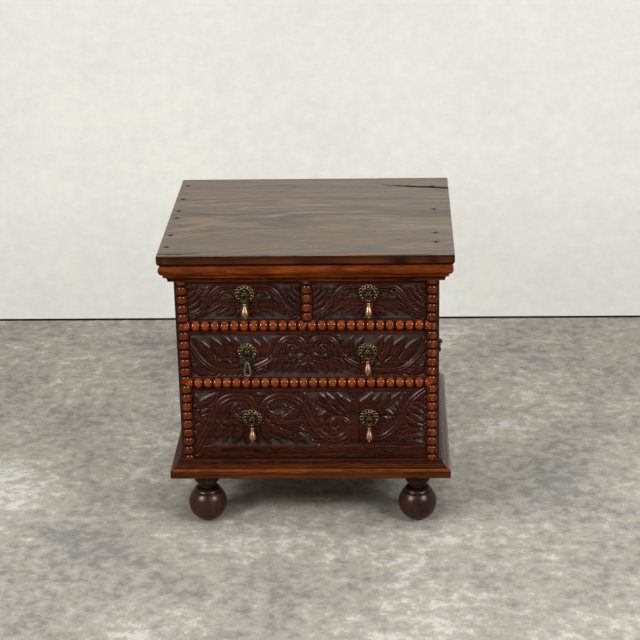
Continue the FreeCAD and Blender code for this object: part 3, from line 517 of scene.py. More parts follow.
class GeometryTree(Tree):
    """A geometry node tree with named inputs, run once on an empty mesh."""

    def __init__(self, name: str, **kinds: str) -> None:
        """Start a tree that passes out one geometry.

        Args:
            name: the tree's name.
            kinds: the socket type of each input, by its name.
        """
        super().__init__(bpy.data.node_groups.new(name, "GeometryNodeTree"))
        new_socket = self.tree.interface.new_socket
        new_socket("Geometry", in_out="OUTPUT", socket_type="NodeSocketGeometry")
        self.names = {
            label: new_socket(label, in_out="INPUT", socket_type="NodeSocket" + kind).identifier
            for label, kind in {**kinds, "Material": "Material"}.items()
        }
        group_in = self.tree.nodes.new("NodeGroupInput")
        self.given = {label: group_in.outputs[label] for label in self.names}

    def finish(self, geometry: Socket) -> None:
        """End the tree in real geometry that wears the given material."""
        real = self.get("GeometryNodeRealizeInstances", None, {0: geometry})
        dressed = self.get("GeometryNodeSetMaterial", None, {"Geometry": real, "Material": self.given["Material"]})
        self.node("NodeGroupOutput", None, {0: dressed})

    def run(self, name: str, material: bpy.types.Material, values: dict[str, float]) -> bpy.types.Mesh:
        """Evaluate the tree with its inputs set and return the plain mesh.

        Args:
            name: the mesh's name.
            material: finish for the tree's Set Material node.
            values: value of each named input.

        Returns:
            A mesh with nothing live on it.
        """
        holder = bpy.data.objects.new(name, bpy.data.meshes.new(name))
        bpy.context.scene.collection.objects.link(holder)
        modifier = holder.modifiers.new("shape", "NODES")
        modifier.node_group = self.tree
        for label, value in {**values, "Material": material}.items():
            modifier[self.names[label]] = value
        bpy.context.view_layer.update()
        mesh = bpy.data.meshes.new_from_object(holder.evaluated_get(bpy.context.evaluated_depsgraph_get()))
        holder.modifiers.remove(modifier)
        bpy.data.objects.remove(holder)
        mesh.materials.clear()
        mesh.materials.append(material)
        mesh.name = name
        return mesh


class Grain(Enum):
    """Direction in which the wood's fibres run, as the turn that brings them along X."""

    ALONG_X = (0.0, 0.0, 0.0)
    ALONG_Y = (0.0, 0.0, -90.0)
    ALONG_Z = (0.0, 90.0, 0.0)


@dataclass(frozen=True)
class WoodFinish:
    """Old oak under wax: growth rings, long fibres, open pores, wear on edges, and dirt mixed with painted shade and
    painted sheen where the mesh marks them.
    """

    name: str
    dark: str
    mid: str
    light: str
    grime: str
    worn: str
    ring_mm: float = 7.0
    fibre_mm: Point = (60.0, 1.6)
    pore_mm: Point = (14.0, 0.9)
    relief_mm: float = 0.25
    roughness: float = 0.5
    spread: float = 0.09
    coat: float = 0.1
    coat_roughness: float = 0.3
    specular: float = 0.5
    stain: float = 0.35
    contrast: float = 1.0
    coat_ior: float = 1.5
    patchy: bool = False
    pore_dirt: float = 0.55
    grime_share: float = 0.9
    worn_share: float = 0.75
    deep_shade: float = 0.55

    def material(self, grain: Grain, seed: int) -> bpy.types.Material:
        """Build the material for a board.

        Args:
            grain: direction of the fibres.
            seed: moves the pattern, so that no two boards match.

        Returns:
            The node material.
        """
        tree = ShaderTree(f"{self.name}_{grain.name.lower()}_{seed}")
        board = self._board_coordinates(tree, grain, seed)
        rings, fibres, pores = self._figure(tree, board)
        colour, stains = self._colour(tree, board, rings, fibres, pores)
        clean = tree.math("SUBTRACT", 1.0, tree.attribute("grime"))
        waxed = tree.attribute("gloss") if self.patchy else clean
        height = self._height(tree, board, fibres, pores)
        rough, shine = self.roughness, self.specular
        shader = tree.get("ShaderNodeBsdfPrincipled", None, {
            "Base Color": colour,
            "Roughness": tree.step(stains, 0.0, 1.0, rough - self.spread, rough + self.spread, soft=False),
            "Specular IOR Level": tree.math("MULTIPLY_ADD", clean, shine * 0.6, shine * 0.4),
            "Coat Weight": tree.math("MULTIPLY", waxed, self.coat),
            "Coat Roughness": self.coat_roughness,
            "Coat IOR": self.coat_ior,
            "Normal": tree.get("ShaderNodeBump", None, {"Distance": self.relief_mm * METRES, "Height": height}),
        })
        return tree.finish(shader)

    def _board_coordinates(self, tree: ShaderTree, grain: Grain, seed: int) -> Socket:
        """Return coordinates in millimetres with the fibres along X, shifted by the seed."""
        rng = np.random.default_rng(seed + 11)
        turn = [math.radians(a + rng.uniform(-1.2, 1.2)) for a in grain.value]
        shift = rng.uniform(-1, 1, 3) * (400, 60, 60) + (0, 70, 90)
        values = {"Vector": tree.place, "Location": shift, "Rotation": turn, "Scale": (1 / METRES,) * 3}
        return tree.get("ShaderNodeMapping", None, values)

    def _noise(self, tree: ShaderTree, board: Socket, size: Point, detail: float) -> Socket:
        """Return noise whose cells are so many millimetres long and wide."""
        scale = (1 / size[0], 1 / size[1], 1 / size[1])
        scaled = tree.get("ShaderNodeVectorMath", {"operation": "MULTIPLY"}, {0: board, 1: scale})
        return tree.noise(scaled, 1.0, detail, 0.6)

    def _figure(self, tree: ShaderTree, board: Socket) -> tuple[Socket, Socket, Socket]:
        """Return the growth rings, the fibres and the pores, each from 0 to 1."""
        across = tree.get("ShaderNodeVectorMath", {"operation": "MULTIPLY"}, {0: board, 1: (0.03, 1, 1)})
        radius = tree.node("ShaderNodeVectorMath", {"operation": "LENGTH"}, {0: across}).outputs["Value"]
        bent = tree.math("MULTIPLY_ADD", self._noise(tree, board, (240.0, 46.0), 2.0), self.ring_mm * 5, radius)
        values = {"W": tree.math("DIVIDE", bent, self.ring_mm), "Scale": 1.0, "Detail": 3.0, "Roughness": 0.65}
        rings = tree.get("ShaderNodeTexNoise", {"noise_dimensions": "1D"}, values)
        fibres = self._noise(tree, board, self.fibre_mm, 3.0)
        pores = tree.step(self._noise(tree, board, self.pore_mm, 1.0), 0.57, 0.68)
        return rings, fibres, pores

    def _colour(
        self, tree: ShaderTree, board: Socket, rings: Socket, fibres: Socket, pores: Socket
    ) -> tuple[Socket, Socket]:
        """Return the surface colour and the stain pattern that also drives the roughness."""
        tone = tree.math("MULTIPLY_ADD", rings, 0.62, -0.06)
        mixed = tree.math("MULTIPLY_ADD", fibres, 0.5, tone)
        half = 0.17 / self.contrast
        bare = tree.ramp(mixed, ((0.5 - half, self.dark), (0.5, self.mid), (0.5 + half, self.light)))
        stains = self._noise(tree, board, (150.0, 60.0), 3.0)
        shade = tree.step(stains, 0.3, 0.7, 1 - self.stain, 1 + self.stain, soft=False)
        # Deeper places, as the mesh marks them, are darkened as painted shade.
        kept = tree.math("MULTIPLY_ADD", tree.attribute("deep"), -self.deep_shade, 1.0)
        shade = tree.math("MULTIPLY", shade, kept)
        colour = tree.get("ShaderNodeVectorMath", {"operation": "SCALE"}, {0: bare, "Scale": shade})
        for code, mask, share in (
            (self.grime, pores, self.pore_dirt),
            # The grime attribute paints dirt together with painted shade and painted sheen.
            (self.grime, tree.attribute("grime"), self.grime_share),
            (self.worn, tree.attribute("worn"), self.worn_share),
        ):
            colour = tree.mix(tree.math("MULTIPLY", mask, share), colour, linear(code))
        return colour, stains

    def _height(self, tree: ShaderTree, board: Socket, fibres: Socket, pores: Socket) -> Socket:
        """Return the bump height from dents, raised fibres and sunk pores."""
        dents = self._noise(tree, board, (26.0, 17.0), 2.0)
        raised = tree.math("MULTIPLY_ADD", fibres, 0.7, dents)
        return tree.math("MULTIPLY_ADD", pores, -0.6, raised)


@dataclass(frozen=True)
class MetalFinish:
    """Old metal: bright where it is rubbed, dull and dark in patches and hollows."""

    name: str
    bright: str
    dull: str
    grime: str
    patch_mm: float
    grit_mm: float
    relief_mm: float
    roughness: float
    spread: float

    def material(self) -> bpy.types.Material:
        """Build the node material and return it."""
        tree = ShaderTree(self.name)
        patches = tree.noise(tree.place, 1 / (self.patch_mm * METRES), 4.0, 0.65)
        grit = tree.noise(tree.place, 1 / (self.grit_mm * METRES), 2.0)
        mask = tree.step(patches, 0.4, 0.62, soft=False)
        base = tree.mix(mask, linear(self.bright), linear(self.dull))
        shader = tree.get("ShaderNodeBsdfPrincipled", None, {
            "Base Color": tree.mix(tree.attribute("grime"), base, linear(self.grime)),
            "Metallic": 1.0,
            "Roughness": tree.step(patches, 0.35, 0.65, self.roughness, self.roughness + self.spread, soft=False),
            "Normal": tree.get("ShaderNodeBump", None, {"Distance": self.relief_mm * METRES, "Height": grit}),
        })
        return tree.finish(shader)


# Waxed case oak: near black in the grain, brown on the ridges, a dull shine.
CASE_OAK = WoodFinish("oak_case", "#140c08", "#2a190f", "#412817", "#0e0805", "#5d3d25", specular=0.15, coat=0.05)
# Bare oak inside the case and drawers: never waxed, dusty grey brown and matt.
INNER_OAK = WoodFinish(
    "oak_inner", "#4a3423", "#6b5038", "#8a6b4c", "#2b1e14", "#a08563",
    roughness=0.75, coat=0.0, specular=0.3, stain=0.25,
)
# Lid oak: bleached and rubbed by use, so the open grain is grey beige under a thin wax.
LID_OAK = WoodFinish(
    "oak_lid", "#3a2a1b", "#5b4631", "#7d6345", "#0c0704", "#5a3014",
    ring_mm=5.0, fibre_mm=(60.0, 1.7), relief_mm=0.32, roughness=0.4, coat=0.25, coat_roughness=0.35,
    specular=0.42, stain=0.13, contrast=1.15,
)
# Edge and underside of the lid: the old dark polish that the top has lost, kept darker still as painted shade,
# orange where the arris is rubbed.
EDGE_OAK = WoodFinish(
    "oak_lid_edge", "#120603", "#2a1207", "#43200d", "#060201", "#653410",
    ring_mm=5.0, roughness=0.42, coat=0.03, specular=0.05, stain=0.6, contrast=0.8,
)
# Cornice oak: the best kept polish, a mottled orange brown.
CORNICE_OAK = WoodFinish(
    "oak_cornice", "#331204", "#6a2c07", "#8f430c", "#0c0502", "#9c4e12",
    ring_mm=11.0, fibre_mm=(34.0, 6.0), pore_mm=(8.0, 0.8), relief_mm=0.12, roughness=0.42, coat=0.03,
    coat_roughness=0.25, specular=0.05, stain=0.7, contrast=0.7,
)
# Moulding oak: warm orange brown where the wax has been rubbed, dark in the hollows.
MOULDING_OAK = WoodFinish(
    "oak_moulding", "#220d03", "#4c2106", "#6c330a", "#0c0502", "#854210",
    ring_mm=5.0, roughness=0.42, coat=0.03, coat_roughness=0.25, specular=0.07, stain=0.55, contrast=0.75,
)
# The same oak at the sides, where dusty wax still lies thick on the mouldings.
WAXED_OAK = WoodFinish(
    "oak_moulding_side", "#24140a", "#452817", "#5e3a22", "#1a110b", "#74492a",
    ring_mm=5.0, roughness=0.4, coat=0.4, coat_roughness=0.28, specular=0.45, stain=0.4, contrast=0.75,
)
# Carved oak: dark reddish brown, the sunk ground grey as dust and a painted sheen, edges rubbed paler.
CARVED_OAK = WoodFinish(
    "oak_carved", "#1a0804", "#33130a", "#4a1f0e", "#4a4039", "#5e2f1c",
    roughness=0.42, coat=0.25, coat_roughness=0.23, specular=0.04, stain=0.4, patchy=True,
)
# Turned beads of the rails: reddish fruitwood under shellac, glossy orange brown, painted lighter than the uprights
# for the light from above, with painted shade in the necks.
LIT_RAIL_BEADS = WoodFinish(
    "bead_wood_rail_lit", "#592505", "#8c3907", "#aa4c0a", "#0c0401", "#b8651a",
    ring_mm=4.0, fibre_mm=(16.0, 1.0), relief_mm=0.01, roughness=0.5,
    coat=0.66, coat_roughness=0.06, specular=0.03, stain=0.35, coat_ior=1.7, patchy=True,
)
# The same wood on the uprights, painted darker as shade, because less light from above falls on them.
SHADED_COLUMN_BEADS = WoodFinish(
    "bead_wood_column", "#451d06", "#712d07", "#8d3e0a", "#0c0401", "#964a11",
    ring_mm=4.0, fibre_mm=(16.0, 1.0), relief_mm=0.01, roughness=0.5,
    coat=0.5, coat_roughness=0.06, specular=0.03, stain=0.35, coat_ior=1.7, patchy=True,
)
# Turned feet: dark oak with a built-up polish that shows the lamps.
FOOT_WOOD = WoodFinish(
    "foot_wood", "#1d0f0a", "#3b2015", "#56321e", "#0c0604", "#6c442a",
    ring_mm=9.0, relief_mm=0.1, roughness=0.4, coat=0.32, coat_roughness=0.28, specular=0.04,
    stain=0.5, contrast=0.55,
)
# Cast brass, rubbed to a pale gold on the ridges and tarnished brown in the hollows.
BRASS = MetalFinish("brass", "#7c6c48", "#352b1c", "#120e09", 4.0, 0.7, 0.06, 0.32, 0.25)
# Copper-rich brass of the drops, polished by fingers.
DROP_BRASS = MetalFinish("brass_drop", "#b58662", "#7e573a", "#33200f", 14.0, 0.9, 0.03, 0.3, 0.14)
# Yellow cast brass of the one drop that came from another set.
PALE_BRASS = MetalFinish("brass_pale", "#a1875a", "#6f5d3a", "#2e2412", 14.0, 0.9, 0.03, 0.3, 0.14)
# Hand-drawn iron, grey with a brown bloom of old rust.
IRON = MetalFinish("iron", "#6a695f", "#403d36", "#1d1813", 5.0, 0.6, 0.08, 0.45, 0.2)
# Nail heads rusted nearly black, level with the lid.
NAIL_IRON = MetalFinish("iron_nail", "#2c2723", "#1b1613", "#0d0a08", 4.0, 0.6, 0.08, 0.6, 0.2)


class Cut(Enum):
    """Kinds of carved form."""

    BAND = "band"
    LEAF = "leaf"
    BOSS = "boss"


@dataclass(frozen=True)
class Stroke:
    """One carved form on a drawer front, drawn along its middle line."""

    cut: Cut
    width: float
    path: tuple[Point, ...]

    @classmethod
    def read(cls, text: str) -> "Stroke":
        """Read a stroke from its kind, its width and the points of its path."""
        kind, width, *points = text.split()
        return cls(Cut(kind), float(width), tuple(tuple(map(float, p.split(","))) for p in points))

    def moved(self, across: float, flip: bool) -> "Stroke":
        """Return the stroke moved along x, mirrored first if flip is true."""
        side = -1.0 if flip else 1.0
        return Stroke(self.cut, self.width, tuple((across + side * x, z) for x, z in self.path))


TOP_ARCH = ("band 12 -108,456 -96,460 -85,466 -76,477 -68,489 -59,501 -50,508.5 -38,512.5 -20,513.5 0,513.5 "
            "20,513.5 38,512.5 50,508.5 59,501 68,489 76,477 85,466 96,460 108,456",)
TOP_HALF = (
    "leaf 9 -108,470 -98,476 -90,484 -82,496",
    "leaf 10 -109,478 -100,488 -90,498 -74,512",
    "leaf 9 -109,492 -100,502 -88,517",
    "leaf 7 -108,505 -103,511 -99,518",
    "band 6.5 -19,489 -24,500 -34,504 -44,499 -46,490 -40,484 -32,487 -31,494",
    "boss 6 -37,494 -36.5,494",
    "leaf 8 -44,486 -54,488 -62,484 -70,474",
    "leaf 10 -12,482 -32,482 -50,476 -66,466 -80,452",
    "leaf 9 -12,476 -28,473 -44,465 -56,451",
    "leaf 8 -10,470 -22,464 -34,451",
    "leaf 7 -6,466 -12,459 -17,450",
    "leaf 7 -14,498 -22,504 -30,507",
)
MIDDLE_HALF = (
    "leaf 10 -196,334 -208,337 -218,344 -225,356",
    "leaf 13 -150,350 -172,360 -192,377 -206,394 -222,411",
    "leaf 14 -146,356 -162,372 -176,390 -190,413",
    "leaf 13 -140,360 -148,378 -155,396 -163,414",
    "leaf 9 -134,372 -137,388 -141,402 -147,413",
    "leaf 9 -138,350 -156,349 -172,352 -188,362",
    "leaf 9 -98,358 -94,374 -97,390 -108,410",
    "leaf 10 -88,360 -82,376 -82,392 -88,412",
    "leaf 8 -79,366 -73,382 -68,396 -66,412",
    "leaf 9 -46,364 -58,359 -68,350 -76,337",
    "leaf 9 -38,361 -50,354 -59,344 -66,332",
    "leaf 9 -26,360 -38,352 -46,343 -52,332",
    "leaf 9 -13,358 -24,350 -32,342 -38,332",
    "leaf 8 -4,354 -10,346 -16,338 -20,332",
    "leaf 7 -100,340 -88,340 -78,334",
    "band 13 -229,396 -219,380 -208,364 -196,352 -179,342 -159,338.5 -139,338.5 -120,341 -104,346 -90,352 "
    "-77,360 -66,371 -59,384 -53,396 -44,404.5 -30,408.5 -16,405 -8,396 -6,384 -11,374 -21,368.5 -32,369.5 "
    "-39,377 -39,387 -32,393 -25,390",
    "boss 7 -29.5,384 -29,384",
)
MIDDLE_CENTRE = (
    "leaf 10 0,368 0,356 0,344 0,332",
    "leaf 9 0,380 0,392 0,404 0,414",
)
BOTTOM_ALL = (
    # upper left corner and the left margin
    "leaf 12 -226,232 -221,250 -219,268 -222,292",
    "leaf 10 -222,262 -208,270 -194,279 -178,294",
    "leaf 8 -226,240 -216,236 -207,226",
    "leaf 7 -224,222 -218,214 -213,204",
    # under the left scroll
    "leaf 12 -128,228 -146,224 -164,216 -182,204 -200,180",
    "leaf 11 -132,222 -150,214 -164,203 -172,182",
    "leaf 14 -122,222 -136,212 -144,200 -150,180",
    "leaf 14 -112,220 -120,208 -124,196 -126,180",
    "leaf 10 -104,216 -106,204 -104,192 -100,180",
    "leaf 8 -134,234 -148,232 -160,236 -170,246",
    "leaf 7 -140,228 -152,226 -164,226 -176,230",
    # left scroll
    "band 17 -228,168 -215,190 -203,212 -193,234 -187,252 -178,266 -166,277 -152,283.5 -136,285.5 -123,282.5 "
    "-113,274.5 -107,262 -106,248 -112,238 -124,234.5 -138,238 -148,247 -150,259 -144,268 -135,270",
    "boss 8 -136,258 -135,258",
    # leaves that sweep down from the middle scroll
    "leaf 13 -96,252 -92,236 -84,220 -72,206 -58,190 -52,180",
    "leaf 16 -88,250 -80,232 -66,216 -46,206 -22,198 0,180",
    "leaf 11 -94,232 -90,214 -84,198 -76,180",
    "leaf 10 -42,206 -34,198 -28,190 -26,180",
    "leaf 16 -76,244 -60,234 -42,228 -24,228 -10,236",
    "leaf 11 -50,240 -36,242 -24,248 -18,258",
    "leaf 9 -62,226 -40,220 -22,216 -4,206",
    # leaves from the stem to the upper left
    "leaf 12 84,222 72,236 56,246 38,249 16,238",
    "leaf 10 84,228 68,246 46,257 22,270 -6,284",
    "leaf 11 84,234 74,252 60,265 44,276 32,295",
    "leaf 11 86,240 80,258 70,271 59,281 52,296",
    "leaf 8 40,270 26,280 18,295",
    "leaf 8 60,242 46,238 34,230 30,222",
    # leaves from the stem to the upper right
    "leaf 11 92,240 97,258 108,270 118,281 126,296",
    "leaf 11 98,236 108,254 122,266 134,278 142,296",
    "leaf 10 104,232 124,250 142,262 160,274 182,296",
    "leaf 10 112,240 132,248 150,250 166,244",
    "leaf 8 140,262 150,276 158,296",
    "leaf 9 122,232 136,236 148,234 156,224",
    # middle scroll
    "band 17 -97,236 -94,252 -88,266 -77,276.5 -63,283 -48,284.5 -34,281 -22,273.5 -12,262 -4,248 3,232 11,217 "
    "22,203 35,194.5 49,192 63,196 73,205 77,218 73,230 62,237 49,236.5 41,228 42,218 50,213",
    "band 7.5 -82,262 -76,252 -66,247 -54,247 -46,253 -45,262 -51,269 -61,270.5",
    "boss 7 55,219 55.5,219",
    # stem and its shield
    "leaf 15 88,190 89,212 90,236 90,262 90,294",
    "boss 34 90,297 91,297",
    # right scroll
    "band 17 228,298 214,287 201,275 191,260 183,243 174,226 164,212 151,200 136,194 121,194.5 109,201 103,212 "
    "105,224 115,230 126,227 131,218",
    "leaf 9 176,196 188,206 203,211 225,212",
    "leaf 9 172,186 188,194 204,198 225,198",
    "leaf 8 160,184 180,184 204,186 225,184",
    "leaf 9 194,252 200,242 211,234 226,228",
    "leaf 8 198,262 207,254 216,249 226,246",
    "leaf 7 206,272 214,266 226,262",
    "leaf 8 190,238 198,228 210,222 226,220",
)


# Tool marks in the sunk ground, and wear of the whole carved face: depth and cell of each noise.
GROUND_MARKS = ((0.35, 6.0), (0.18, 2.4))
FACE_WEAR = ((0.12, 18.0), (0.07, 1.6))


@dataclass
class CarvedFront:
    """A drawer front with scrolls and leaves left standing in a sunk ground."""

    node: str
    strokes: tuple[Stroke, ...]
    sunk: tuple[float, float, float, float]
    step: float
    seed: int
    depth: float = 4.6
    wall: float = 1.5
    front: float = -214.0
    lap: float = 10.0
    thick: float = 20.0
    floor_gap: float = 6.0
    slope: float = 3.0
    spread: float = 2.3
    hollow: float = 2.0
    hollow_from: float = 2.6
    hollow_share: float = 0.7
    fringe: float = 16.0
    fringe_top: float = 0.9
    lobe: float = 11.0
    cut_depth: float = 2.3
    cut_width: float = 1.1
    head_gap: float = 0.0
    shine: float = 1.0
    bevel: float = 2.4
    broad: float = 10.0
    shake_depth: float = 3.4
    shake_width: float = 1.1
    shake: tuple[float, float, float] | None = None
    outline: tuple[float, float, float, float] = field(init=False)

    def build(self) -> None:
        """Build the carved front, dress it and put it in the node's place."""
        low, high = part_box(self.node)
        self.outline = (low.x / METRES, high.x / METRES, low.z / METRES, high.z / METRES - self.head_gap)
        x0, x1, z0, z1 = self.outline
        xs = np.linspace(x0, x1, round((x1 - x0) / self.step) + 1)
        zs = np.linspace(z0, z1, round((z1 - z0) / self.step) + 1)
        height = self._relief(xs, zs)
        marks = self._marks(height)
        verts, faces = self._solid(xs, zs, height)
        extra = np.zeros(len(verts) - height.size)
        attributes = {name: np.concatenate([values.ravel(), extra]) for name, values in marks.items()}
        piece = make_piece(self.node + "_carved", verts, faces, attributes, 60.0, False)
        piece.data.materials.append(CARVED_OAK.material(Grain.ALONG_X, self.seed))
        settle(piece, self.node)

    def _relief(self, xs: np.ndarray, zs: np.ndarray) -> np.ndarray:
        """Return the height of the carved face above the front plane, never above zero."""
        shape = (len(zs), len(xs))
        grid_x, grid_z = np.meshgrid(xs, zs)
        x0, x1, z0, z1 = self.sunk
        inside = np.minimum.reduce([grid_x - x0, x1 - grid_x, grid_z - z0, z1 - grid_z])
        ground = self._marked(shape, GROUND_MARKS, 0) - self.depth
        height = ground * smooth(inside / self.wall + 0.5)
        for stroke in self.strokes:
            if stroke.cut is Cut.BAND and stroke.width > self.broad:
                self._fringe(height, xs, zs, stroke)
        for stroke in self.strokes:
            self._carve(height, xs, zs, stroke)
        height = self._hollowed(height)
        if self.shake:
            self._split(height, grid_x, grid_z)
        return np.minimum(height + self._marked(shape, FACE_WEAR, 2), 0.0)

    def _marked(self, shape: tuple[int, int], marks: Sequence[Point], first: int) -> np.ndarray:
        """Return the sum of some noises, each of a depth and a cell."""
        layers = enumerate(marks, self.seed + first)
        return sum(deep * soft_noise(shape, cell / self.step, seed) for seed, (deep, cell) in layers)

    def _hollowed(self, height: np.ndarray) -> np.ndarray:
        """Return the relief with its ground scooped into rounded hollows, as a gouge leaves it."""
        soft = height.copy()
        reach = round(self.hollow / self.step)
        for axis in (0, 1, 0, 1):
            shifted = [np.roll(soft, shift, axis) for shift in range(-reach, reach + 1)]
            soft = sum(shifted) / len(shifted)
        return height + smooth(-height - self.hollow_from) * self.hollow_share * (soft - height)

    def _split(self, height: np.ndarray, grid_x: np.ndarray, grid_z: np.ndarray) -> None:
        """Cut a thin drying shake along the grain."""
        start, end, level = self.shake
        away = np.abs(grid_z - level - 0.8 * np.sin(grid_x / 23.0))
        along = smooth((grid_x - start) / 12) * smooth((end - grid_x) / 12)
        height -= self.shake_depth * along * smooth(1.5 - away / self.shake_width)

    def _nearest(self, xs: np.ndarray, zs: np.ndarray, path: np.ndarray, reach: float) -> Beside:
        """Return distance, side and share along the path for each place of a window."""
        shape = (len(zs), len(xs))
        away, side, share = np.full(shape, 1e9), np.ones(shape), np.zeros(shape)
        lengths = np.linalg.norm(np.diff(path, axis=0), axis=1)
        travelled = np.concatenate([[0], np.cumsum(lengths)])
        for index, (start, end) in enumerate(zip(path, path[1:])):
            view = window(xs, zs, path[index:index + 2], reach)
            px = xs[None, view[1]] - start[0]
            pz = zs[view[0], None] - start[1]
            run = end - start
            part = np.clip((px * run[0] + pz * run[1]) / max(run @ run, 1e-9), 0, 1)
            distance = np.hypot(px - part * run[0], pz - part * run[1])
            closer = distance < away[view]
            away[view][closer] = distance[closer]
            side[view][closer] = np.sign(px * run[1] - pz * run[0] + 1e-12)[closer]
            share[view][closer] = ((travelled[index] + part * lengths[index]) / travelled[-1])[closer]
        return away, side, share

    def _around(self, xs: np.ndarray, zs: np.ndarray, stroke: Stroke, margin: float) -> tuple[Window, Beside, float]:
        """Return the part of the grid near a stroke, its places beside the path and the path's length."""
        path = spline(stroke.path, 1.5)
        reach = stroke.width / 2 + margin
        near = window(xs, zs, path, reach)
        beside = self._nearest(xs[near[1]], zs[near[0]], path, reach)
        return near, beside, float(np.linalg.norm(np.diff(path, axis=0), axis=1).sum())

    def _fringe(self, height: np.ndarray, xs: np.ndarray, zs: np.ndarray, stroke: Stroke) -> None:
        """Fill the ground beside a band with low lobes that sweep away from it."""
        near, (away, side, share), length = self._around(xs, zs, stroke, self.fringe + 2.0)
        out = away - stroke.width / 2
        turn = (share * length + 0.9 * out) / self.lobe + 0.25 * side
        wave = 2 * np.abs(turn - np.floor(turn) - 0.5)
        vein = 0.5 * np.exp(-((wave * self.lobe / 1.4) ** 2))
        top = -self.fringe_top - 1.6 * wave ** 2 - vein
        inside = smooth((self.fringe * (1 - 0.45 * wave ** 2) - out) / self.slope)
        old = height[near]
        height[near] = np.maximum(old, old + (top - old) * inside)

    def _carve(self, height: np.ndarray, xs: np.ndarray, zs: np.ndarray, stroke: Stroke) -> None:
        """Leave one form standing, with a cut line round it where it lies over another."""
        near, (away, side, share), _ = self._around(xs, zs, stroke, 2.5)
        half, top = self._profile(stroke, away, side, share)
        depth_in = half - away
        old = height[near]
        edge = np.minimum(old, -self.cut_depth)
        outside = smooth(1 + depth_in / self.cut_width)
        cut = old + (edge - old) * outside
        inside = smooth(depth_in / self.slope)
        height[near] = np.where(depth_in > 0, edge + (top - edge) * inside, cut)

    def _profile(
        self, stroke: Stroke, away: np.ndarray, side: np.ndarray, share: np.ndarray
    ) -> tuple[np.ndarray, np.ndarray]:
        """Return the half width of a form and the height of its top, place by place."""
        if stroke.cut is Cut.BAND:
            half = stroke.width / 2 * (1 - 0.5 * smooth((share - 0.72) / 0.28))
            across = away * side / half
            groove = np.exp(-(((across - 0.12) * half / 0.75) ** 2)) * 1.5
            rim = np.exp(-(((across + 0.62) * half / 0.6) ** 2)) * 0.7
            bevel = 1.5 * smooth((np.abs(across) - 1) * half / self.bevel + 1)
            return half, -0.1 - bevel - (stroke.width > self.broad) * (groove + rim)
        if stroke.cut is Cut.BOSS:
            half = np.full_like(away, stroke.width / 2)
            return half, -0.3 - 1.6 * (away / half) ** 2
        body = 0.5 + 0.5 * smooth(share / 0.35)
        half = np.maximum(self.spread * stroke.width / 2 * body * (1 - share ** 2.6) ** 0.8, 0.01)
        across = np.clip(away * side / half, -1, 1)
        pillow = 2.0 * np.abs(across) ** 2.2 + 0.35 * (1 + across)
        vein = 1.1 * np.exp(-((away / 0.8) ** 2)) * (stroke.width > 8.5) * smooth((1 - share) / 0.3)
        return half, -0.25 - pillow - vein - 0.8 * share ** 3

    def _marks(self, height: np.ndarray) -> dict[str, np.ndarray]:
        """Return the sunk ground's grey of dust and painted sheen, where edges are rubbed, where wax stands on
        slopes and how deep each place lies.
        """
        around = height.copy()
        for _ in range(3):
            padded = np.pad(around, 1, mode="edge")
            around = (padded[:-2, 1:-1] + padded[2:, 1:-1] + padded[1:-1, :-2] + padded[1:-1, 2:]) / 4
        bulge = height - around
        # The sunk ground is marked for a grey that is partly dust and partly a painted sheen.
        sunk = smooth((-height - 2.4) / (self.depth - 2.6))
        dusty = 0.75 + 0.45 * soft_noise(height.shape, 9 / self.step, self.seed + 7)
        grime = np.clip(sunk * dusty, 0, 1)
        worn = 0.5 * smooth(bulge / 0.5) * smooth((height + 2.6) / 1.6)
        up, across = np.gradient(height, self.step)
        tilt = np.hypot(up, across)
        gloss = smooth((tilt - 0.22) / 0.2) * smooth((2.4 - tilt) / 1.0) * smooth((0.05 - up) / 0.2)
        # The deep mark is darkened by the finish as painted shade.
        return {"grime": grime, "worn": worn, "gloss": gloss * self.shine, "deep": smooth((-height - 0.7) / 2.0)}

    def _solid(self, xs: np.ndarray, zs: np.ndarray, height: np.ndarray) -> Shape:
        """Close the carved face into the rebated board behind it."""
        rows, columns = height.shape
        x0, x1, z0, z1 = self.outline
        grid_x, grid_z = np.meshgrid(xs, zs)
        face = np.stack([grid_x, self.front - height, grid_z], axis=2).reshape(-1, 3)
        lap, back = self.front + self.lap, self.front + self.thick
        inner = (x0 + self.lap, x1 - self.lap, z0 + self.floor_gap)
        rim = [(x0, lap, z0), (x1, lap, z0), (x1, lap, z1), (x0, lap, z1)]
        outline = [(inner[0], z1), (inner[0], inner[2]), (inner[1], inner[2]), (inner[1], z1)]
        behind = [(x, y, z) for y in (lap, back) for x, z in outline]
        corner, near, far = ([rows * columns + first + i for i in range(4)] for first in (0, 4, 8))
        left = [row * columns for row in range(rows)]
        right = [place + columns - 1 for place in left]
        foot = list(range(columns))
        head = [left[-1] + column for column in foot]
        faces: list[Sequence[int]] = [list(quad) for quad in grid_faces(rows, columns)]
        faces += [
            [corner[0], *left, corner[3]],
            [corner[2], *right[::-1], corner[1]],
            [corner[1], *foot[::-1], corner[0]],
            [corner[3], *head, corner[2], near[3], far[3], far[0], near[0]],
            [corner[0], corner[3], *near, corner[2], corner[1]],
            *([near[i + 1], near[i], far[i], far[i + 1]] for i in range(3)),
            far[::-1],
        ]
        return np.vstack([face, rim, behind]), faces


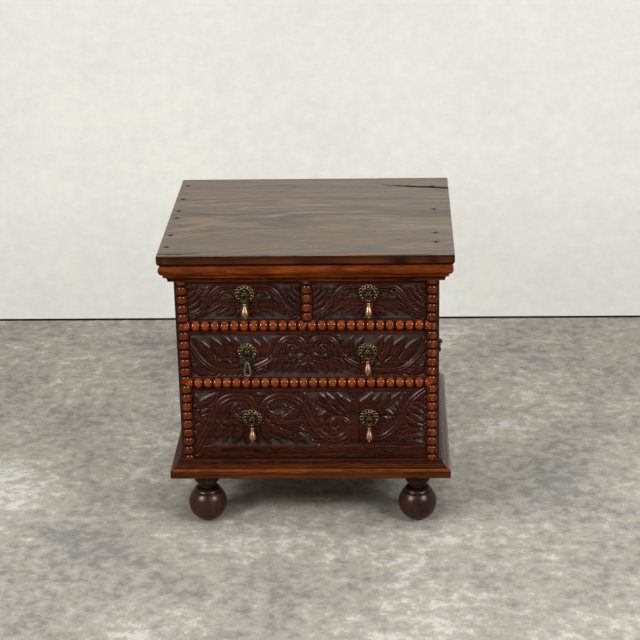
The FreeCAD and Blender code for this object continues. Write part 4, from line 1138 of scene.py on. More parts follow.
def carved_fronts() -> list[CarvedFront]:
    """Return the four drawer fronts with their patterns."""
    arch, half, middle, centre, lower = (
        tuple(map(Stroke.read, table)) for table in (TOP_ARCH, TOP_HALF, MIDDLE_HALF, MIDDLE_CENTRE, BOTTOM_ALL)
    )
    fronts = []
    for name, place, seed in (("left", -119.0, 3), ("right", 119.0, 4)):
        strokes = tuple(s.moved(place, flip) for flip in (False, True) for s in half)
        strokes += tuple(s.moved(place, False) for s in arch)
        sunk = (place - 105.5, place + 105.5, 444.0, 519.5)
        node = f"drawer_top_{name}_front"
        fronts.append(CarvedFront(node, strokes, sunk, 0.7, seed, fringe=10.0, lobe=8.5, shine=0.35))
    both = centre + tuple(s.moved(0.0, flip) for flip in (False, True) for s in middle)
    wide = {"fringe": 12.0, "lobe": 9.5, "head_gap": 3.2, "shake": (-196.0, 92.0, 367.0)}
    fronts.append(CarvedFront("drawer_middle_front", both, (-224.0, 224.0, 328.5, 415.5), 0.85, 5, **wide))
    sunk = (-223.5, 223.5, 179.0, 295.5)
    return [*fronts, CarvedFront("drawer_bottom_front", lower, sunk, 0.95, 6, head_gap=3.2)]


@dataclass
class BeadStrings:
    """Half-round strings of turned beads on the columns, rails and muntin."""

    radius: float = 9.8
    muntin_radius: float = 8.8
    neck: float = 3.8
    pitch: float = 18.6
    neck_share: float = 0.07
    fullness: float = 4.0
    tip: float = 0.03
    rail_wax_and_shade: Point = (0.35, 0.34)
    column_wax_and_shade: Point = (0.5, 0.46)
    far: float = 1.0e3
    front: float = -214.0
    column_x: float = 238.4
    sill: float = 153.0
    head: float = 528.0
    lower_rail: float = 315.4
    upper_rail: float = 434.4
    step: float = 0.62
    sides: int = 19

    def build(self) -> None:
        """Build the five strings and put them in their nodes' places."""
        tree = self._tree()
        flat = np.eye(3)
        upright = flat[::-1]
        mirror = np.diag((-1, 1, 1)) @ upright
        side, sill, clear = self.column_x, self.sill, -self.far
        for name, level, notch in (("lower", self.lower_rail, clear), ("upper", self.upper_rail, side)):
            values = self._values(2 * side, (notch, notch), 1.0, (1.0, 1.0), 5 + int(level), self.rail_wax_and_shade)
            self._place(f"beads_rail_{name}", tree, values, flat, (-side, level))
        lets = (self.lower_rail - sill, self.upper_rail - sill)
        for name, turn, sign in (("left", mirror, -1.0), ("right", upright, 1.0)):
            values = self._values(self.head - sill, lets, -1.0, (0.0, 0.0), 7 + int(sign), self.column_wax_and_shade)
            self._place(f"beads_{name}", tree, values, turn, (sign * side, sill))
        values = self._values(self.head - self.upper_rail, (clear, clear), 1.0, (1.0, 0.0), 5, self.column_wax_and_shade)
        values["Radius"] = self.muntin_radius
        self._place("beads_muntin", tree, values, upright, (0.0, self.upper_rail))

    def _values(
        self, length: float, notches: Point, side: float, points: Point, seed: int, waxed: Point
    ) -> dict[str, float]:
        """Return one string's inputs, its beads centred on its middle.

        Args:
            length: length of the string.
            notches: places where a rail's point is let in.
            side: the side that the notches are on.
            points: 1 for an end that is cut to a point.
            seed: fixed seed.
            waxed: where round the string its wax stands, 0.5 for its front, and where the painted shade of a bead
                starts.

        Returns:
            A value for each input of the tree.
        """
        count = math.ceil(length / self.pitch) + 2
        return {
            "Length": length, "Columns": round(length / self.step), "Rows": self.sides,
            "Phase": (length - count * self.pitch) / 2, "Pitch": self.pitch,
            "Radius": self.radius, "Neck": self.neck,
            "Notch A": notches[0], "Notch B": notches[1], "Side": side,
            "Point Start": points[0], "Point End": points[1],
            "Seed": seed, "Waxed": waxed[0], "Dark From": waxed[1],
        }

    def _place(
        self, node: str, tree: GeometryTree, values: dict[str, float], turn: np.ndarray, start: Point
    ) -> None:
        """Make one string from its start at x and z, and let it replace its node."""
        rail = "rail" in node
        finish, grain = (LIT_RAIL_BEADS, Grain.ALONG_X) if rail else (SHADED_COLUMN_BEADS, Grain.ALONG_Z)
        mesh = tree.run(node + "_turned", finish.material(grain, 60 + values["Seed"] % 17), values)
        piece = place_mesh(node + "_turned", mesh, turn, (start[0], self.front, start[1]))
        settle(piece, node)

    def _tree(self) -> GeometryTree:
        """Build the node tree of a string along X with its flat at Y = 0."""
        floats = ("Length", "Phase", "Pitch", "Radius", "Neck", "Notch A", "Notch B", "Side")
        floats += ("Point Start", "Point End", "Waxed", "Dark From")
        kinds = {**dict.fromkeys(floats, "Float"), **dict.fromkeys(("Columns", "Rows", "Seed"), "Int")}
        made = GeometryTree("bead string", **kinds)
        given, do = made.given, made.math
        sizes = {"Size X": 1.0, "Size Y": 1.0, "Vertices X": given["Columns"], "Vertices Y": given["Rows"]}
        shape = made.get("GeometryNodeMeshGrid", None, sizes)
        across = made.node("ShaderNodeSeparateXYZ", None, {0: made.get("GeometryNodeInputPosition")})
        along, inside_x = self._closed_share(made, across.outputs[0], given["Columns"])
        around, inside_y = self._closed_share(made, across.outputs[1], given["Rows"])
        distance = do("MULTIPLY", along, given["Length"])
        radius, gap, shoulder, point = self._radius(made, distance)
        beside = do("ABSOLUTE", do("SUBTRACT", around, given["Waxed"]))
        gloss = do("MULTIPLY", shoulder, made.step(beside, 0.26, 0.18))
        radius = do("MULTIPLY", radius, do("MULTIPLY", inside_x, inside_y))
        angle = do("MULTIPLY", around, math.pi)
        out = do("MULTIPLY", do("SINE", angle), do("MULTIPLY", radius, -1.0))
        lateral = do("MULTIPLY", do("COSINE", angle), radius)
        limits = [do("ABSOLUTE", do("SUBTRACT", distance, given[name])) for name in ("Notch A", "Notch B")]
        held = do("MINIMUM", do("MULTIPLY", lateral, given["Side"]), do("MINIMUM", *limits))
        lateral = do("MINIMUM", do("MULTIPLY", held, given["Side"]), point)
        lateral = do("MAXIMUM", lateral, do("MULTIPLY", point, -1.0))
        # The first attribute carries painted shade on the bead shoulders and in the necks.
        for name, value in (("grime", gap), ("gloss", gloss)):
            store = {"Geometry": shape, "Name": name, "Value": value}
            shape = made.get("GeometryNodeStoreNamedAttribute", {"data_type": "FLOAT", "domain": "POINT"}, store)
        target = made.get("ShaderNodeCombineXYZ", None, {0: distance, 1: out, 2: lateral})
        moved = made.get("GeometryNodeSetPosition", None, {"Geometry": shape, "Position": target})
        made.finish(made.get("GeometryNodeMergeByDistance", None, {"Geometry": moved, "Distance": 1e-4}))
        return made

    def _closed_share(self, made: GeometryTree, value: Socket, count: Socket) -> tuple[Socket, Socket]:
        """Return the share along one side of the grid, and 0 on its two closing lines or 1 between."""
        do = made.math
        share = do("ADD", value, 0.5)
        line = do("DIVIDE", 1.0, do("SUBTRACT", count, 1.0))
        spread = do("SUBTRACT", 1.0, do("MULTIPLY", line, 2.0))
        inner = do("DIVIDE", do("SUBTRACT", share, line), spread)
        half = do("MULTIPLY", line, 0.5)
        after = do("GREATER_THAN", share, half)
        before = do("LESS_THAN", share, do("SUBTRACT", 1.0, half))
        return made.get("ShaderNodeClamp", None, {0: inner, 1: 0.0, 2: 1.0}), do("MULTIPLY", after, before)

    def _radius(self, made: GeometryTree, distance: Socket) -> tuple[Socket, Socket, Socket, Socket]:
        """Return the radius, the painted shade of the shoulders and necks, the waxed shoulders and the width of the
        points.
        """
        given, do = made.given, made.math
        count = do("DIVIDE", do("SUBTRACT", distance, given["Phase"]), given["Pitch"])
        place = do("SUBTRACT", do("MULTIPLY", do("FRACT", count), 2.0), 1.0)
        share = do("MINIMUM", do("DIVIDE", do("ABSOLUTE", place), 1 - self.neck_share), 1.0)
        curve = do("POWER", do("SUBTRACT", 1.0, do("POWER", share, self.fullness)), 0.5)
        bead = {2: 0.95, 3: 1.0, "ID": do("FLOOR", count), "Seed": given["Seed"]}
        varied = made.node("FunctionNodeRandomValue", {"data_type": "FLOAT"}, bead).outputs[1]
        full = do("SUBTRACT", do("MULTIPLY", given["Radius"], varied), given["Neck"])
        radius = do("ADD", given["Neck"], do("MULTIPLY", full, curve))
        left = do("SUBTRACT", given["Length"], distance)
        ends = [
            do("ADD", away, do("MULTIPLY", do("SUBTRACT", 1.0, given[name]), self.far))
            for name, away in (("Point Start", distance), ("Point End", left))
        ]
        shoulder = do("MULTIPLY", made.step(share, 0.42, 0.55), made.step(share, 0.98, 0.88))
        # Painted shade: each bead darkens from the Dark From share towards its neck, most in the neck itself.
        dark = made.step(share, given["Dark From"], do("ADD", given["Dark From"], 0.3))
        gap = do("ADD", do("MULTIPLY", dark, 0.7), do("MULTIPLY", do("POWER", share, 8.0), 0.3))
        return radius, gap, shoulder, do("MAXIMUM", do("MINIMUM", *ends), self.tip)


@dataclass
class Mouldings:
    """The cornice and the plinth: mitred lengths at the front and both sides."""

    case_x: float = 252.0
    front: float = -214.0
    back: float = 234.0
    cornice_foot: float = 528.0
    plinth_foot: float = 118.0
    step: float = 3.0
    dent: float = 0.5
    dark_top: float = 2.2
    shaded_foot_cornice: Point = (16.2, 0.45)
    shaded_foot_plinth: Point = (4.0, 0.6)

    def build(self) -> None:
        """Build the six lengths."""
        cornice = ("cornice", self.cornice_foot, self._cornice_profile())
        plinth = ("plinth", self.plinth_foot, self._plinth_profile())
        for index, (name, foot, profile) in enumerate((cornice, plinth)):
            for side in ("front", "left", "right"):
                self._length(f"{name}_{side}", foot, np.array(profile), side, 10 * index + len(side))

    def _cornice_profile(self) -> list[Point]:
        """Return the cornice section, as projection and height from its foot."""
        cove = [(18.0 - 7.5 * math.cos(t), 1.4 + 9.0 * math.sin(t)) for t in np.linspace(0, math.pi / 2, 10)]
        profile = straight_points((0.0, 0.0), (10.0, 0.0), 2.5)
        profile += [(10.3, 0.15), (10.5, 0.5)] + cove[:-1]
        profile += [(17.9, 10.5), (18.0, 11.0)] + straight_points((18.0, 11.5), (18.0, 14.4), 0.8)
        profile += [(17.6, 14.9), (17.4, 15.3), (18.6, 15.5), (19.4, 15.7)]
        profile += arc_points((20.0, 16.2), (26.0, 26.8), (22.4, 35.4), 20)
        profile += [(22.2, 35.7), (21.6, 36.0)] + straight_points((21.0, 36.0), (0.0, 36.0), 4.0)
        return profile + straight_points((0.0, 36.0), (0.0, 0.0), 6.0)

    def _plinth_profile(self) -> list[Point]:
        """Return the plinth section, as projection and height from its foot."""
        profile = straight_points((0.0, 0.0), (19.5, 0.0), 3.0)
        profile += arc_points((19.5, 0.0), (22.33, 1.17), (23.5, 4.0), 5)
        profile += straight_points((23.5, 4.0), (23.5, 16.5), 1.5)
        profile += arc_points((23.5, 16.5), (22.33, 19.33), (19.5, 20.5), 5)
        profile += straight_points((19.5, 20.5), (15.4, 20.5), 1.1)
        profile += [(14.8, 20.0), (14.3, 20.4)] + arc_points((14.4, 20.9), (15.6, 22.2), (14.4, 23.5), 7)
        profile += [(13.6, 23.3), (12.9, 23.7), (12.9, 24.5), (12.9, 25.4)]
        profile += [(12.6 - 5.8 * math.sin(t), 33.4 - 7.6 * math.cos(t)) for t in np.linspace(0.0, math.pi / 2, 9)]
        profile += [(6.8, 34.2), (6.5, 34.8), (6.0, 35.0)]
        profile += straight_points((5.4, 35.0), (0.0, 35.0), 1.5)
        return profile + straight_points((0.0, 35.0), (0.0, 0.0), 5.0)

    def _length(self, node: str, foot: float, profile: np.ndarray, side: str, seed: int) -> None:
        """Sweep the section along one side, mitred at the front corners."""
        run = 2 * self.case_x if side == "front" else self.back - self.front
        stations = round(run / self.step)
        shares = np.linspace(0, 1, stations)
        normals = self._normals(profile)
        bulge = self._bulge(profile, normals)
        out, up = profile.T
        top = up.max()
        noises = ((5.0, seed), (2.0, seed + 50), (7.0, seed + 90))
        rough, fine, bumps = (soft_noise((stations, len(profile)), *noise) for noise in noises)
        knocks = smooth((bumps - 0.55) / 0.3)
        shown = out > 0.5
        inward = (0.2 + 0.14 * rough + 0.05 * fine + self.dent * knocks * smooth(bulge / 0.2)) * shown
        outs = out - inward * normals[:, 0]
        ups = up - inward * normals[:, 1] * ((up > 0.5) & (up < top - 0.2))
        if side == "front":
            x = -self.case_x - outs + shares[:, None] * (2 * self.case_x + 2 * outs)
            rings = np.stack([x, self.front - outs, foot + ups], axis=2)
        else:
            sign = -1.0 if side == "left" else 1.0
            y = self.front - outs + shares[:, None] * (self.back - self.front + outs)
            rings = np.stack([sign * (self.case_x + outs), y, foot + ups], axis=2)
        verts, faces = loft(rings, False, True)
        worn = np.clip(smooth((bulge - 0.12) / 0.4)[None, :] * (0.5 + 0.5 * rough), 0, 1)
        # Darker in the hollows of the section.
        grime = np.clip(smooth(-bulge / 0.3)[None, :] * (0.8 + 0.2 * fine), 0, 1)
        cornice = node.startswith("cornice")
        # Painted shade: a dark strip along the top of the section, under the lid on the cornice and under the case
        # on the plinth, and a darker foot, below the cornice's torus and along the plinth's lower edge.
        level, dull = self.shaded_foot_cornice if cornice else self.shaded_foot_plinth
        grime = np.maximum(grime, 0.9 * smooth((up - top + self.dark_top) / 2.5))
        grime = np.maximum(grime, dull * smooth((level - up) / 1.5))
        marks = {"worn": (worn * (1 - grime)).ravel(), "grime": grime.ravel()}
        piece = make_piece(node + "_run", verts, faces, marks, 50.0)
        grain = Grain.ALONG_X if side == "front" else Grain.ALONG_Y
        finish = CORNICE_OAK if cornice else WAXED_OAK if node == "plinth_right" else MOULDING_OAK
        piece.data.materials.append(finish.material(grain, 70 + seed))
        settle(piece, node)

    def _normals(self, profile: np.ndarray) -> np.ndarray:
        """Return the outward direction at each point of a section."""
        run = np.roll(profile, -1, axis=0) - np.roll(profile, 1, axis=0)
        across = np.stack([run[:, 1], -run[:, 0]], axis=1)
        return across / np.maximum(np.linalg.norm(across, axis=1), 1e-6)[:, None]

    def _bulge(self, profile: np.ndarray, normals: np.ndarray) -> np.ndarray:
        """Return how far each point stands out from its neighbours, negative in a hollow."""
        around = (np.roll(profile, 2, axis=0) + np.roll(profile, -2, axis=0)) / 2
        return ((profile - around) * normals).sum(axis=1)


@dataclass
class Lid:
    """The two boards of the lid, worn, with a drying crack at the right rear corner."""

    half_x: float = 280.0
    half_y: float = 242.0
    joint: float = 4.84
    foot: float = 564.0
    top: float = 586.0
    top_round: float = 3.0
    top_depth: float = 1.5
    under_round: float = 9.0
    left_nail_x: float = -265.0
    right_nail_x: float = 247.0
    left_nails: tuple[float, ...] = (0.11, 0.25, 0.47, 0.56, 0.72, 0.91)
    right_nails: tuple[float, ...] = (0.15, 0.26, 0.56, 0.88)
    crack: tuple[Point, ...] = ((281.0, 171.0), (262.0, 173.0), (230.0, 178.0), (190.0, 186.0), (132.0, 198.0))
    hairline: tuple[Point, ...] = ((-281.0, -231.0), (-240.0, -230.2), (-191.0, -229.0))
    crack_size: Point = (4.2, 8.0)
    hairline_size: Point = (1.9, 2.4)
    step_x: float = 5.0
    step_y: float = 1.8
    fine_step: float = 0.7
    dimple: float = 0.9
    dimple_reach: float = 5.2
    stain: Point = (9.0, 3.4)

    def build(self) -> None:
        """Build both boards."""
        self._board("lid_board_front", (-self.half_y, self.joint), 1)
        self._board("lid_board_rear", (self.joint, self.half_y), 2)

    def _nails(self) -> list[Point]:
        """Return the places of the nails."""
        deep = 2 * self.half_y
        places = [(self.left_nail_x, deep * share - self.half_y) for share in self.left_nails]
        return places + [(self.right_nail_x, deep * share - self.half_y) for share in self.right_nails]

    def _lines(
        self, low: float, high: float, step: float, round_low: bool, round_high: bool, fine: Sequence[Point]
    ) -> np.ndarray:
        """Return grid lines between two edges, closer over rounded edges and fine stretches."""
        turns = 1 - np.cos(np.linspace(0, math.pi / 2, 9))
        lines = [np.arange(low, high, step), np.array([high])]
        if round_low:
            lines += [low + self.under_round * turns, low + self.top_round * turns]
        if round_high:
            lines += [high - self.under_round * turns, high - self.top_round * turns]
        lines += [np.arange(start, end, self.fine_step) for start, end in fine if low < start and end < high]
        values = np.unique(np.round(np.concatenate(lines), 3))
        keep = [values[0]]
        for value in values[1:-1]:
            if value - keep[-1] > 0.2 and high - value > 0.1:
                keep.append(value)
        return np.array([*keep, values[-1]])

    def _board(self, node: str, y_range: Point, seed: int) -> None:
        """Build one board as an upper and a lower surface that share their rim."""
        front = node.endswith("front")
        nail_bands = [(y - 5, y + 5) for _, y in self._nails()]
        fine_y = nail_bands + ([(-233.0, -226.0)] if front else [(168.0, 201.0)])
        fine_x = [(self.left_nail_x - 6, self.left_nail_x + 6), (self.right_nail_x - 6, self.right_nail_x + 6)]
        xs = self._lines(-self.half_x, self.half_x, self.step_x, True, True, fine_x)
        ys = self._lines(*y_range, self.step_y, front, False, fine_y)
        grid_x, grid_y = np.meshgrid(xs, ys)
        ends = self.half_x - np.abs(grid_x)
        shaped = np.minimum(ends, grid_y + self.half_y) if front else ends
        plain = y_range[1] - grid_y if front else grid_y - y_range[0]
        rear = self.half_y - grid_y
        upper = self.top - self._rounding(shaped, self.top_round) - self._rounding(np.minimum(plain, rear), 0.8)
        lower = self.foot + self._rounding(shaped, self.under_round)
        lower = np.minimum(lower, upper - 4.0)
        relief, grime = self._relief(grid_x, grid_y, seed)
        grime = np.maximum(grime, 0.85 * smooth((1.3 - plain) / 0.8))
        away = smooth(np.minimum.reduce([shaped, plain, rear]) / 2.0)
        upper = upper + relief * (0.25 + 0.75 * away)
        count = grid_x.size
        rows, columns = grid_x.shape
        verts = np.vstack([np.stack([grid_x, grid_y, z], axis=2).reshape(-1, 3) for z in (upper, lower)])
        faces = [*grid_faces(rows, columns), *grid_faces(rows, columns, count, True)]
        rim = self._rim(rows, columns)
        faces += [(a, b, b + count, a + count) for a, b in zip(rim, rim[1:] + rim[:1])]
        edge = np.maximum(0.12 * smooth((2.6 - shaped) / 2.2), 0.4 * smooth((3.6 - plain) / 1.6))
        rubbed = np.clip(0.5 + 0.6 * soft_noise(grid_x.shape, 7.0, seed + 40), 0, 1)
        rubbed *= smooth((2.2 - shaped) / 1.8)
        # Painted shade on the underside of the edge, darker away from the rim.
        painted_shade_under = smooth((shaped - 0.2) / 2.0)
        marks = {
            "grime": np.concatenate([grime.ravel(), painted_shade_under.ravel()]),
            "worn": np.concatenate([edge.ravel(), rubbed.ravel()]),
        }
        piece = make_piece(node + "_worn", verts, faces, marks, 35.0)
        for finish in (LID_OAK, EDGE_OAK):
            piece.data.materials.append(finish.material(Grain.ALONG_X, 80 + seed))
        centres = np.empty(len(piece.data.polygons) * 3, np.float32)
        piece.data.polygons.foreach_get("center", centres)
        below = centres.reshape(-1, 3)[:, 2] < (self.top - self.top_depth) * METRES
        piece.data.polygons.foreach_set("material_index", below.astype(np.int32))
        settle(piece, node)

    def _rounding(self, away: np.ndarray, radius: float) -> np.ndarray:
        """Return the drop of a rounded edge at each distance from it."""
        inner = np.clip(radius - away, 0, radius)
        return radius - np.sqrt(np.maximum(radius ** 2 - inner ** 2, 0))

    def _rim(self, rows: int, columns: int) -> list[int]:
        """Return the indices round the edge of a grid."""
        foot = list(range(columns))
        right = [row * columns + columns - 1 for row in range(1, rows)]
        head = [(rows - 1) * columns + column for column in range(columns - 2, -1, -1)]
        left = [row * columns for row in range(rows - 2, 0, -1)]
        return foot + right + head + left

    def _relief(self, grid_x: np.ndarray, grid_y: np.ndarray, seed: int) -> tuple[np.ndarray, np.ndarray]:
        """Return the height of wear, cracks and nail dimples, and where dirt lies in them."""
        shape = grid_x.shape
        relief = -0.2 + 0.12 * soft_noise(shape, 11.0, seed) + 0.05 * soft_noise(shape, 2.5, seed + 5)
        grime = np.zeros(shape)
        for path, (wide, deep) in ((self.crack, self.crack_size), (self.hairline, self.hairline_size)):
            xs, ys = zip(*sorted(path))
            level = np.interp(grid_x, xs, ys) + 0.7 * np.sin(grid_x / 9.0) + 0.4 * np.sin(grid_x / 3.7)
            inner = (grid_x - xs[0]) / (xs[-1] - xs[0]) if xs[-1] > 0 else (xs[-1] - grid_x) / (xs[-1] - xs[0])
            strength = smooth(inner / 0.5) * (inner > 0)
            near = smooth(1.6 - np.abs(grid_y - level) / (wide * (0.35 + 0.65 * strength)))
            relief -= deep * strength * near
            grime = np.maximum(grime, near * smooth(inner / 0.15) * (inner > 0))
        for x, y in self._nails():
            away = np.hypot(grid_x - x, grid_y - y)
            relief -= self.dimple * smooth((self.dimple_reach - away) / 1.8)
            stain = np.hypot((grid_x - x) / self.stain[0], (grid_y - y) / self.stain[1])
            grime = np.maximum(grime, smooth((1.0 - stain) / 0.3))
        return relief, grime


@dataclass
class Pulls:
    """Rosettes, cotters and hanging drops of the drawers."""

    front: float = -214.0
    standoff: float = 8.5
    eye_radius: float = 3.0
    eye_wire: float = 1.1
    shank: float = 1.8
    thick: float = 20.0
    clinch: float = 10.0
    rosette: dict[str, float] = field(
        default_factory=lambda: {
            "Lobes": 14, "Spokes": 7, "Rim": 15.0, "Lobe": 3.0, "Wire": 0.95, "Inner": 11.6, "Boss": 5.6,
        }
    )
    places: dict[str, tuple[str, float, float]] = field(
        default_factory=lambda: {
            "top_left": ("top_left", -118.0, 499.0),
            "top_right": ("top_right", 118.0, 499.0),
            "middle_left": ("middle", -117.0, 379.5),
            "middle_right": ("middle", 115.0, 379.5),
            "bottom_left": ("bottom", -112.0, 239.5),
            "bottom_right": ("bottom", 116.5, 239.5),
        }
    )

    def build(self) -> None:
        """Build the rosettes of each drawer and all six drops."""
        brass = BRASS.material()
        tree = self._rosette_tree()
        for drawer in DRAWERS:
            self._drawer_pulls(drawer, tree, brass)
        copper, pale, iron = DROP_BRASS.material(), PALE_BRASS.material(), IRON.material()
        for name, (_, x, z) in self.places.items():
            node = "drop_" + name
            if name == "middle_left":
                parts, material, slot = self._loop(), iron, "iron"
            else:
                parts = self._drop(7.8 if name == "top_left" else 7.4)
                material, slot = pale if name == "top_left" else copper, "brass"
            verts, faces = joined(parts)
            marks = {"grime": 0.85 * smooth((verts[:, 2] + 19.0) / 5.0)}
            piece = make_piece(node + "_hung", verts + (x, self.front - self.standoff, z), faces, marks, 45.0)
            piece.data.materials.append(material)
            settle(piece, node)

    def _drawer_pulls(self, drawer: str, tree: GeometryTree, brass: bpy.types.Material) -> None:
        """Join one drawer's rosettes and cotters into its pulls piece."""
        node = f"drawer_{drawer}_pulls"
        turn = np.array([(1, 0, 0), (0, 0, -1), (0, 1, 0)])
        parts = []
        for name, (owner, x, z) in self.places.items():
            if owner != drawer:
                continue
            mesh = tree.run("rosette_" + name, brass, self.rosette)
            verts = mesh_places(mesh) @ turn.T + (x, self.front, z)
            parts.append((verts, [tuple(face.vertices) for face in mesh.polygons]))
            parts += self._cotter(x, z)
        verts, faces = joined(parts)
        depth = self.front - verts[:, 1]
        inner = np.min([np.hypot(verts[:, 0] - x, verts[:, 2] - z) for owner, x, z in self.places.values()], axis=0)
        marks = {"grime": np.maximum(0.8 * smooth((1.3 - depth) / 1.3), 0.7 * smooth((14.0 - inner) / 3.0))}
        piece = make_piece(node + "_cast", verts, faces, marks, 45.0)
        piece.data.materials.append(brass)
        settle(piece, node)

    def _cotter(self, x: float, z: float) -> list[Shape]:
        """Return a wire eye, its shank through the front and its clinched tails."""
        eye_y = self.front - self.standoff
        turns = np.linspace(0, 2 * math.pi, 24, endpoint=False)
        across, up = self.eye_radius * np.cos(turns), self.eye_radius * np.sin(turns)
        ring = np.stack([np.full(24, x), eye_y + across, z + up], axis=1)
        inside = self.front + self.thick
        tail_y = inside + self.eye_wire
        shank = np.array([(x, eye_y + self.eye_radius, z), (x, inside - 6, z), (x, tail_y, z)], float)
        tail = np.array([(x, tail_y, z - self.clinch), (x, tail_y, z), (x, tail_y, z + self.clinch)], float)
        return [tube(ring, self.eye_wire, 10, True), tube(shank, self.shank, 12), tube(tail, self.eye_wire, 10)]

    def _head(self, radius: float, wire: float) -> Shape:
        """Return the squared ring by which a drop hangs."""
        turns = np.linspace(0, 2 * math.pi, 32, endpoint=False)
        across, up = np.cos(turns), np.sin(turns)
        reach = radius / (np.abs(across) ** 6 + np.abs(up) ** 6) ** (1 / 6)
        ring = np.stack([reach * across, np.zeros(32), reach * up - radius], axis=1)
        return tube(ring, wire, 12, True)

    def _drop(self, pear: float) -> list[Shape]:
        """Return a cast drop: ring head, collar, ringed neck, pear and tip."""
        profile = [(0.0, -8.4), (2.4, -8.6), (4.4, -9.4), (5.2, -11.0), (5.0, -12.6), (4.0, -14.2), (3.0, -15.6)]
        profile += [(2.7, -16.6), (3.3, -17.3), (3.4, -18.0), (2.9, -18.6), (2.6, -19.2)]
        swell = 45.0 - pear
        for share in np.linspace(0.08, 1, 12):
            swollen = float(smooth(np.array(share))) ** 0.9
            profile.append((2.6 + (pear - 2.6) * swollen, -19.2 - (swell - 19.2) * share))
        for angle in np.linspace(8, 80, 10):
            a = math.radians(angle)
            profile.append((pear * math.cos(a), -swell - pear * math.sin(a)))
        profile += [(1.0, -45.2), (1.3, -45.7), (1.6, -46.4), (1.5, -47.1), (0.9, -47.7), (0.0, -48.0)]
        return [self._head(4.3, 1.9), lathe(np.array(profile[::-1]), 36)]

    def _loop(self) -> list[Shape]:
        """Return the open loop of iron wire that replaces a lost drop."""
        outline = [(0.0, -17.0), (2.4, -22.0), (4.4, -30.0), (5.6, -38.0), (5.4, -42.8), (3.3, -46.0), (0.0, -47.0)]
        outline += [(-x, z) for x, z in outline[-2:0:-1]]
        curve = spline([*outline, outline[0]], 1.2)[:-1]
        path = np.stack([curve[:, 0], np.zeros(len(curve)), curve[:, 1]], axis=1)
        stem = np.array([(0.0, 0.0, -7.6), (0.2, 0.0, -12.0), (0.0, 0.0, -16.0), (0.0, 0.0, -20.5)])
        return [self._head(4.3, 1.8), tube(path, 2.3, 12, True), tube(stem, np.array([1.7, 1.9, 1.9, 2.2]), 12)]

    def _rosette_tree(self) -> GeometryTree:
        """Build the node tree of a pierced rosette that faces +Z."""
        floats = dict.fromkeys(("Rim", "Lobe", "Wire", "Inner", "Boss"), "Float")
        made = GeometryTree("pierced rosette", Lobes="Int", Spokes="Int", **floats)
        given = made.given
        lobe = self._ring(made, 18, given["Lobe"])
        petal = self._ring(made, 20, made.math("MULTIPLY", given["Lobe"], 0.95), (1.55, 0.85, 1.0))
        dome = made.get("GeometryNodeMeshUVSphere", None, {"Segments": 28, "Rings": 14, "Radius": given["Boss"]})
        joint = made.node("GeometryNodeJoinGeometry")
        for part in (
            made.get("GeometryNodeTransform", None, {"Geometry": dome, "Scale": (1.0, 1.0, 0.75)}),
            self._wheel(made, petal, given["Spokes"], made.math("MULTIPLY", given["Inner"], 0.5), 0.22),
            self._ring(made, 56, given["Inner"]),
            self._wheel(made, lobe, given["Lobes"], given["Rim"], 0.0),
        ):
            made.tree.links.new(part, joint.inputs[0])
        real = made.get("GeometryNodeRealizeInstances", None, {0: joint.outputs[0]})
        made.finish(self._domed(made, real, given["Rim"]))
        return made

    def _ring(self, made: GeometryTree, count: int, radius: NodeValue, scale: Place = (1.0, 1.0, 1.0)) -> Socket:
        """Return a ring of wire with so many points, drawn out by the scale."""
        wire, circle = (
            made.get("GeometryNodeCurvePrimitiveCircle", None, {"Resolution": points, "Radius": size})
            for points, size in ((8, made.given["Wire"]), (count, radius))
        )
        drawn = made.get("GeometryNodeTransform", None, {"Geometry": circle, "Scale": scale})
        return made.get("GeometryNodeCurveToMesh", None, {"Curve": drawn, "Profile Curve": wire})

    def _wheel(self, made: GeometryTree, part: Socket, count: Socket, radius: NodeValue, start: float) -> Socket:
        """Repeat a part round a circle, each turned to face outwards."""
        circle = made.get("GeometryNodeMeshCircle", None, {"Vertices": count, "Radius": radius})
        index = made.get("GeometryNodeInputIndex")
        turn = made.math("DIVIDE", made.math("MULTIPLY", index, 2 * math.pi), count)
        angles = made.get("ShaderNodeCombineXYZ", None, {2: turn})
        values = {"Points": circle, "Instance": part, "Rotation": angles}
        spread = made.get("GeometryNodeInstanceOnPoints", None, values)
        return made.get("GeometryNodeTransform", None, {"Geometry": spread, "Rotation": (0.0, 0.0, start)})

    def _domed(self, made: GeometryTree, geometry: Socket, rim: Socket) -> Socket:
        """Raise the rosette's middle so that it is cast as a shallow dish."""
        parts = made.node("ShaderNodeSeparateXYZ", None, {0: made.get("GeometryNodeInputPosition")}).outputs
        level = made.get("ShaderNodeCombineXYZ", None, {0: parts[0], 1: parts[1]})
        away = made.node("ShaderNodeVectorMath", {"operation": "LENGTH"}, {0: level}).outputs["Value"]
        share = made.math("MULTIPLY", made.math("DIVIDE", away, rim), 1.5)
        rise = made.math("ADD", made.math("MULTIPLY", made.math("COSINE", share), 1.5), 0.8)
        offset = made.get("ShaderNodeCombineXYZ", None, {2: rise})
        return made.get("GeometryNodeSetPosition", None, {"Geometry": geometry, "Offset": offset})


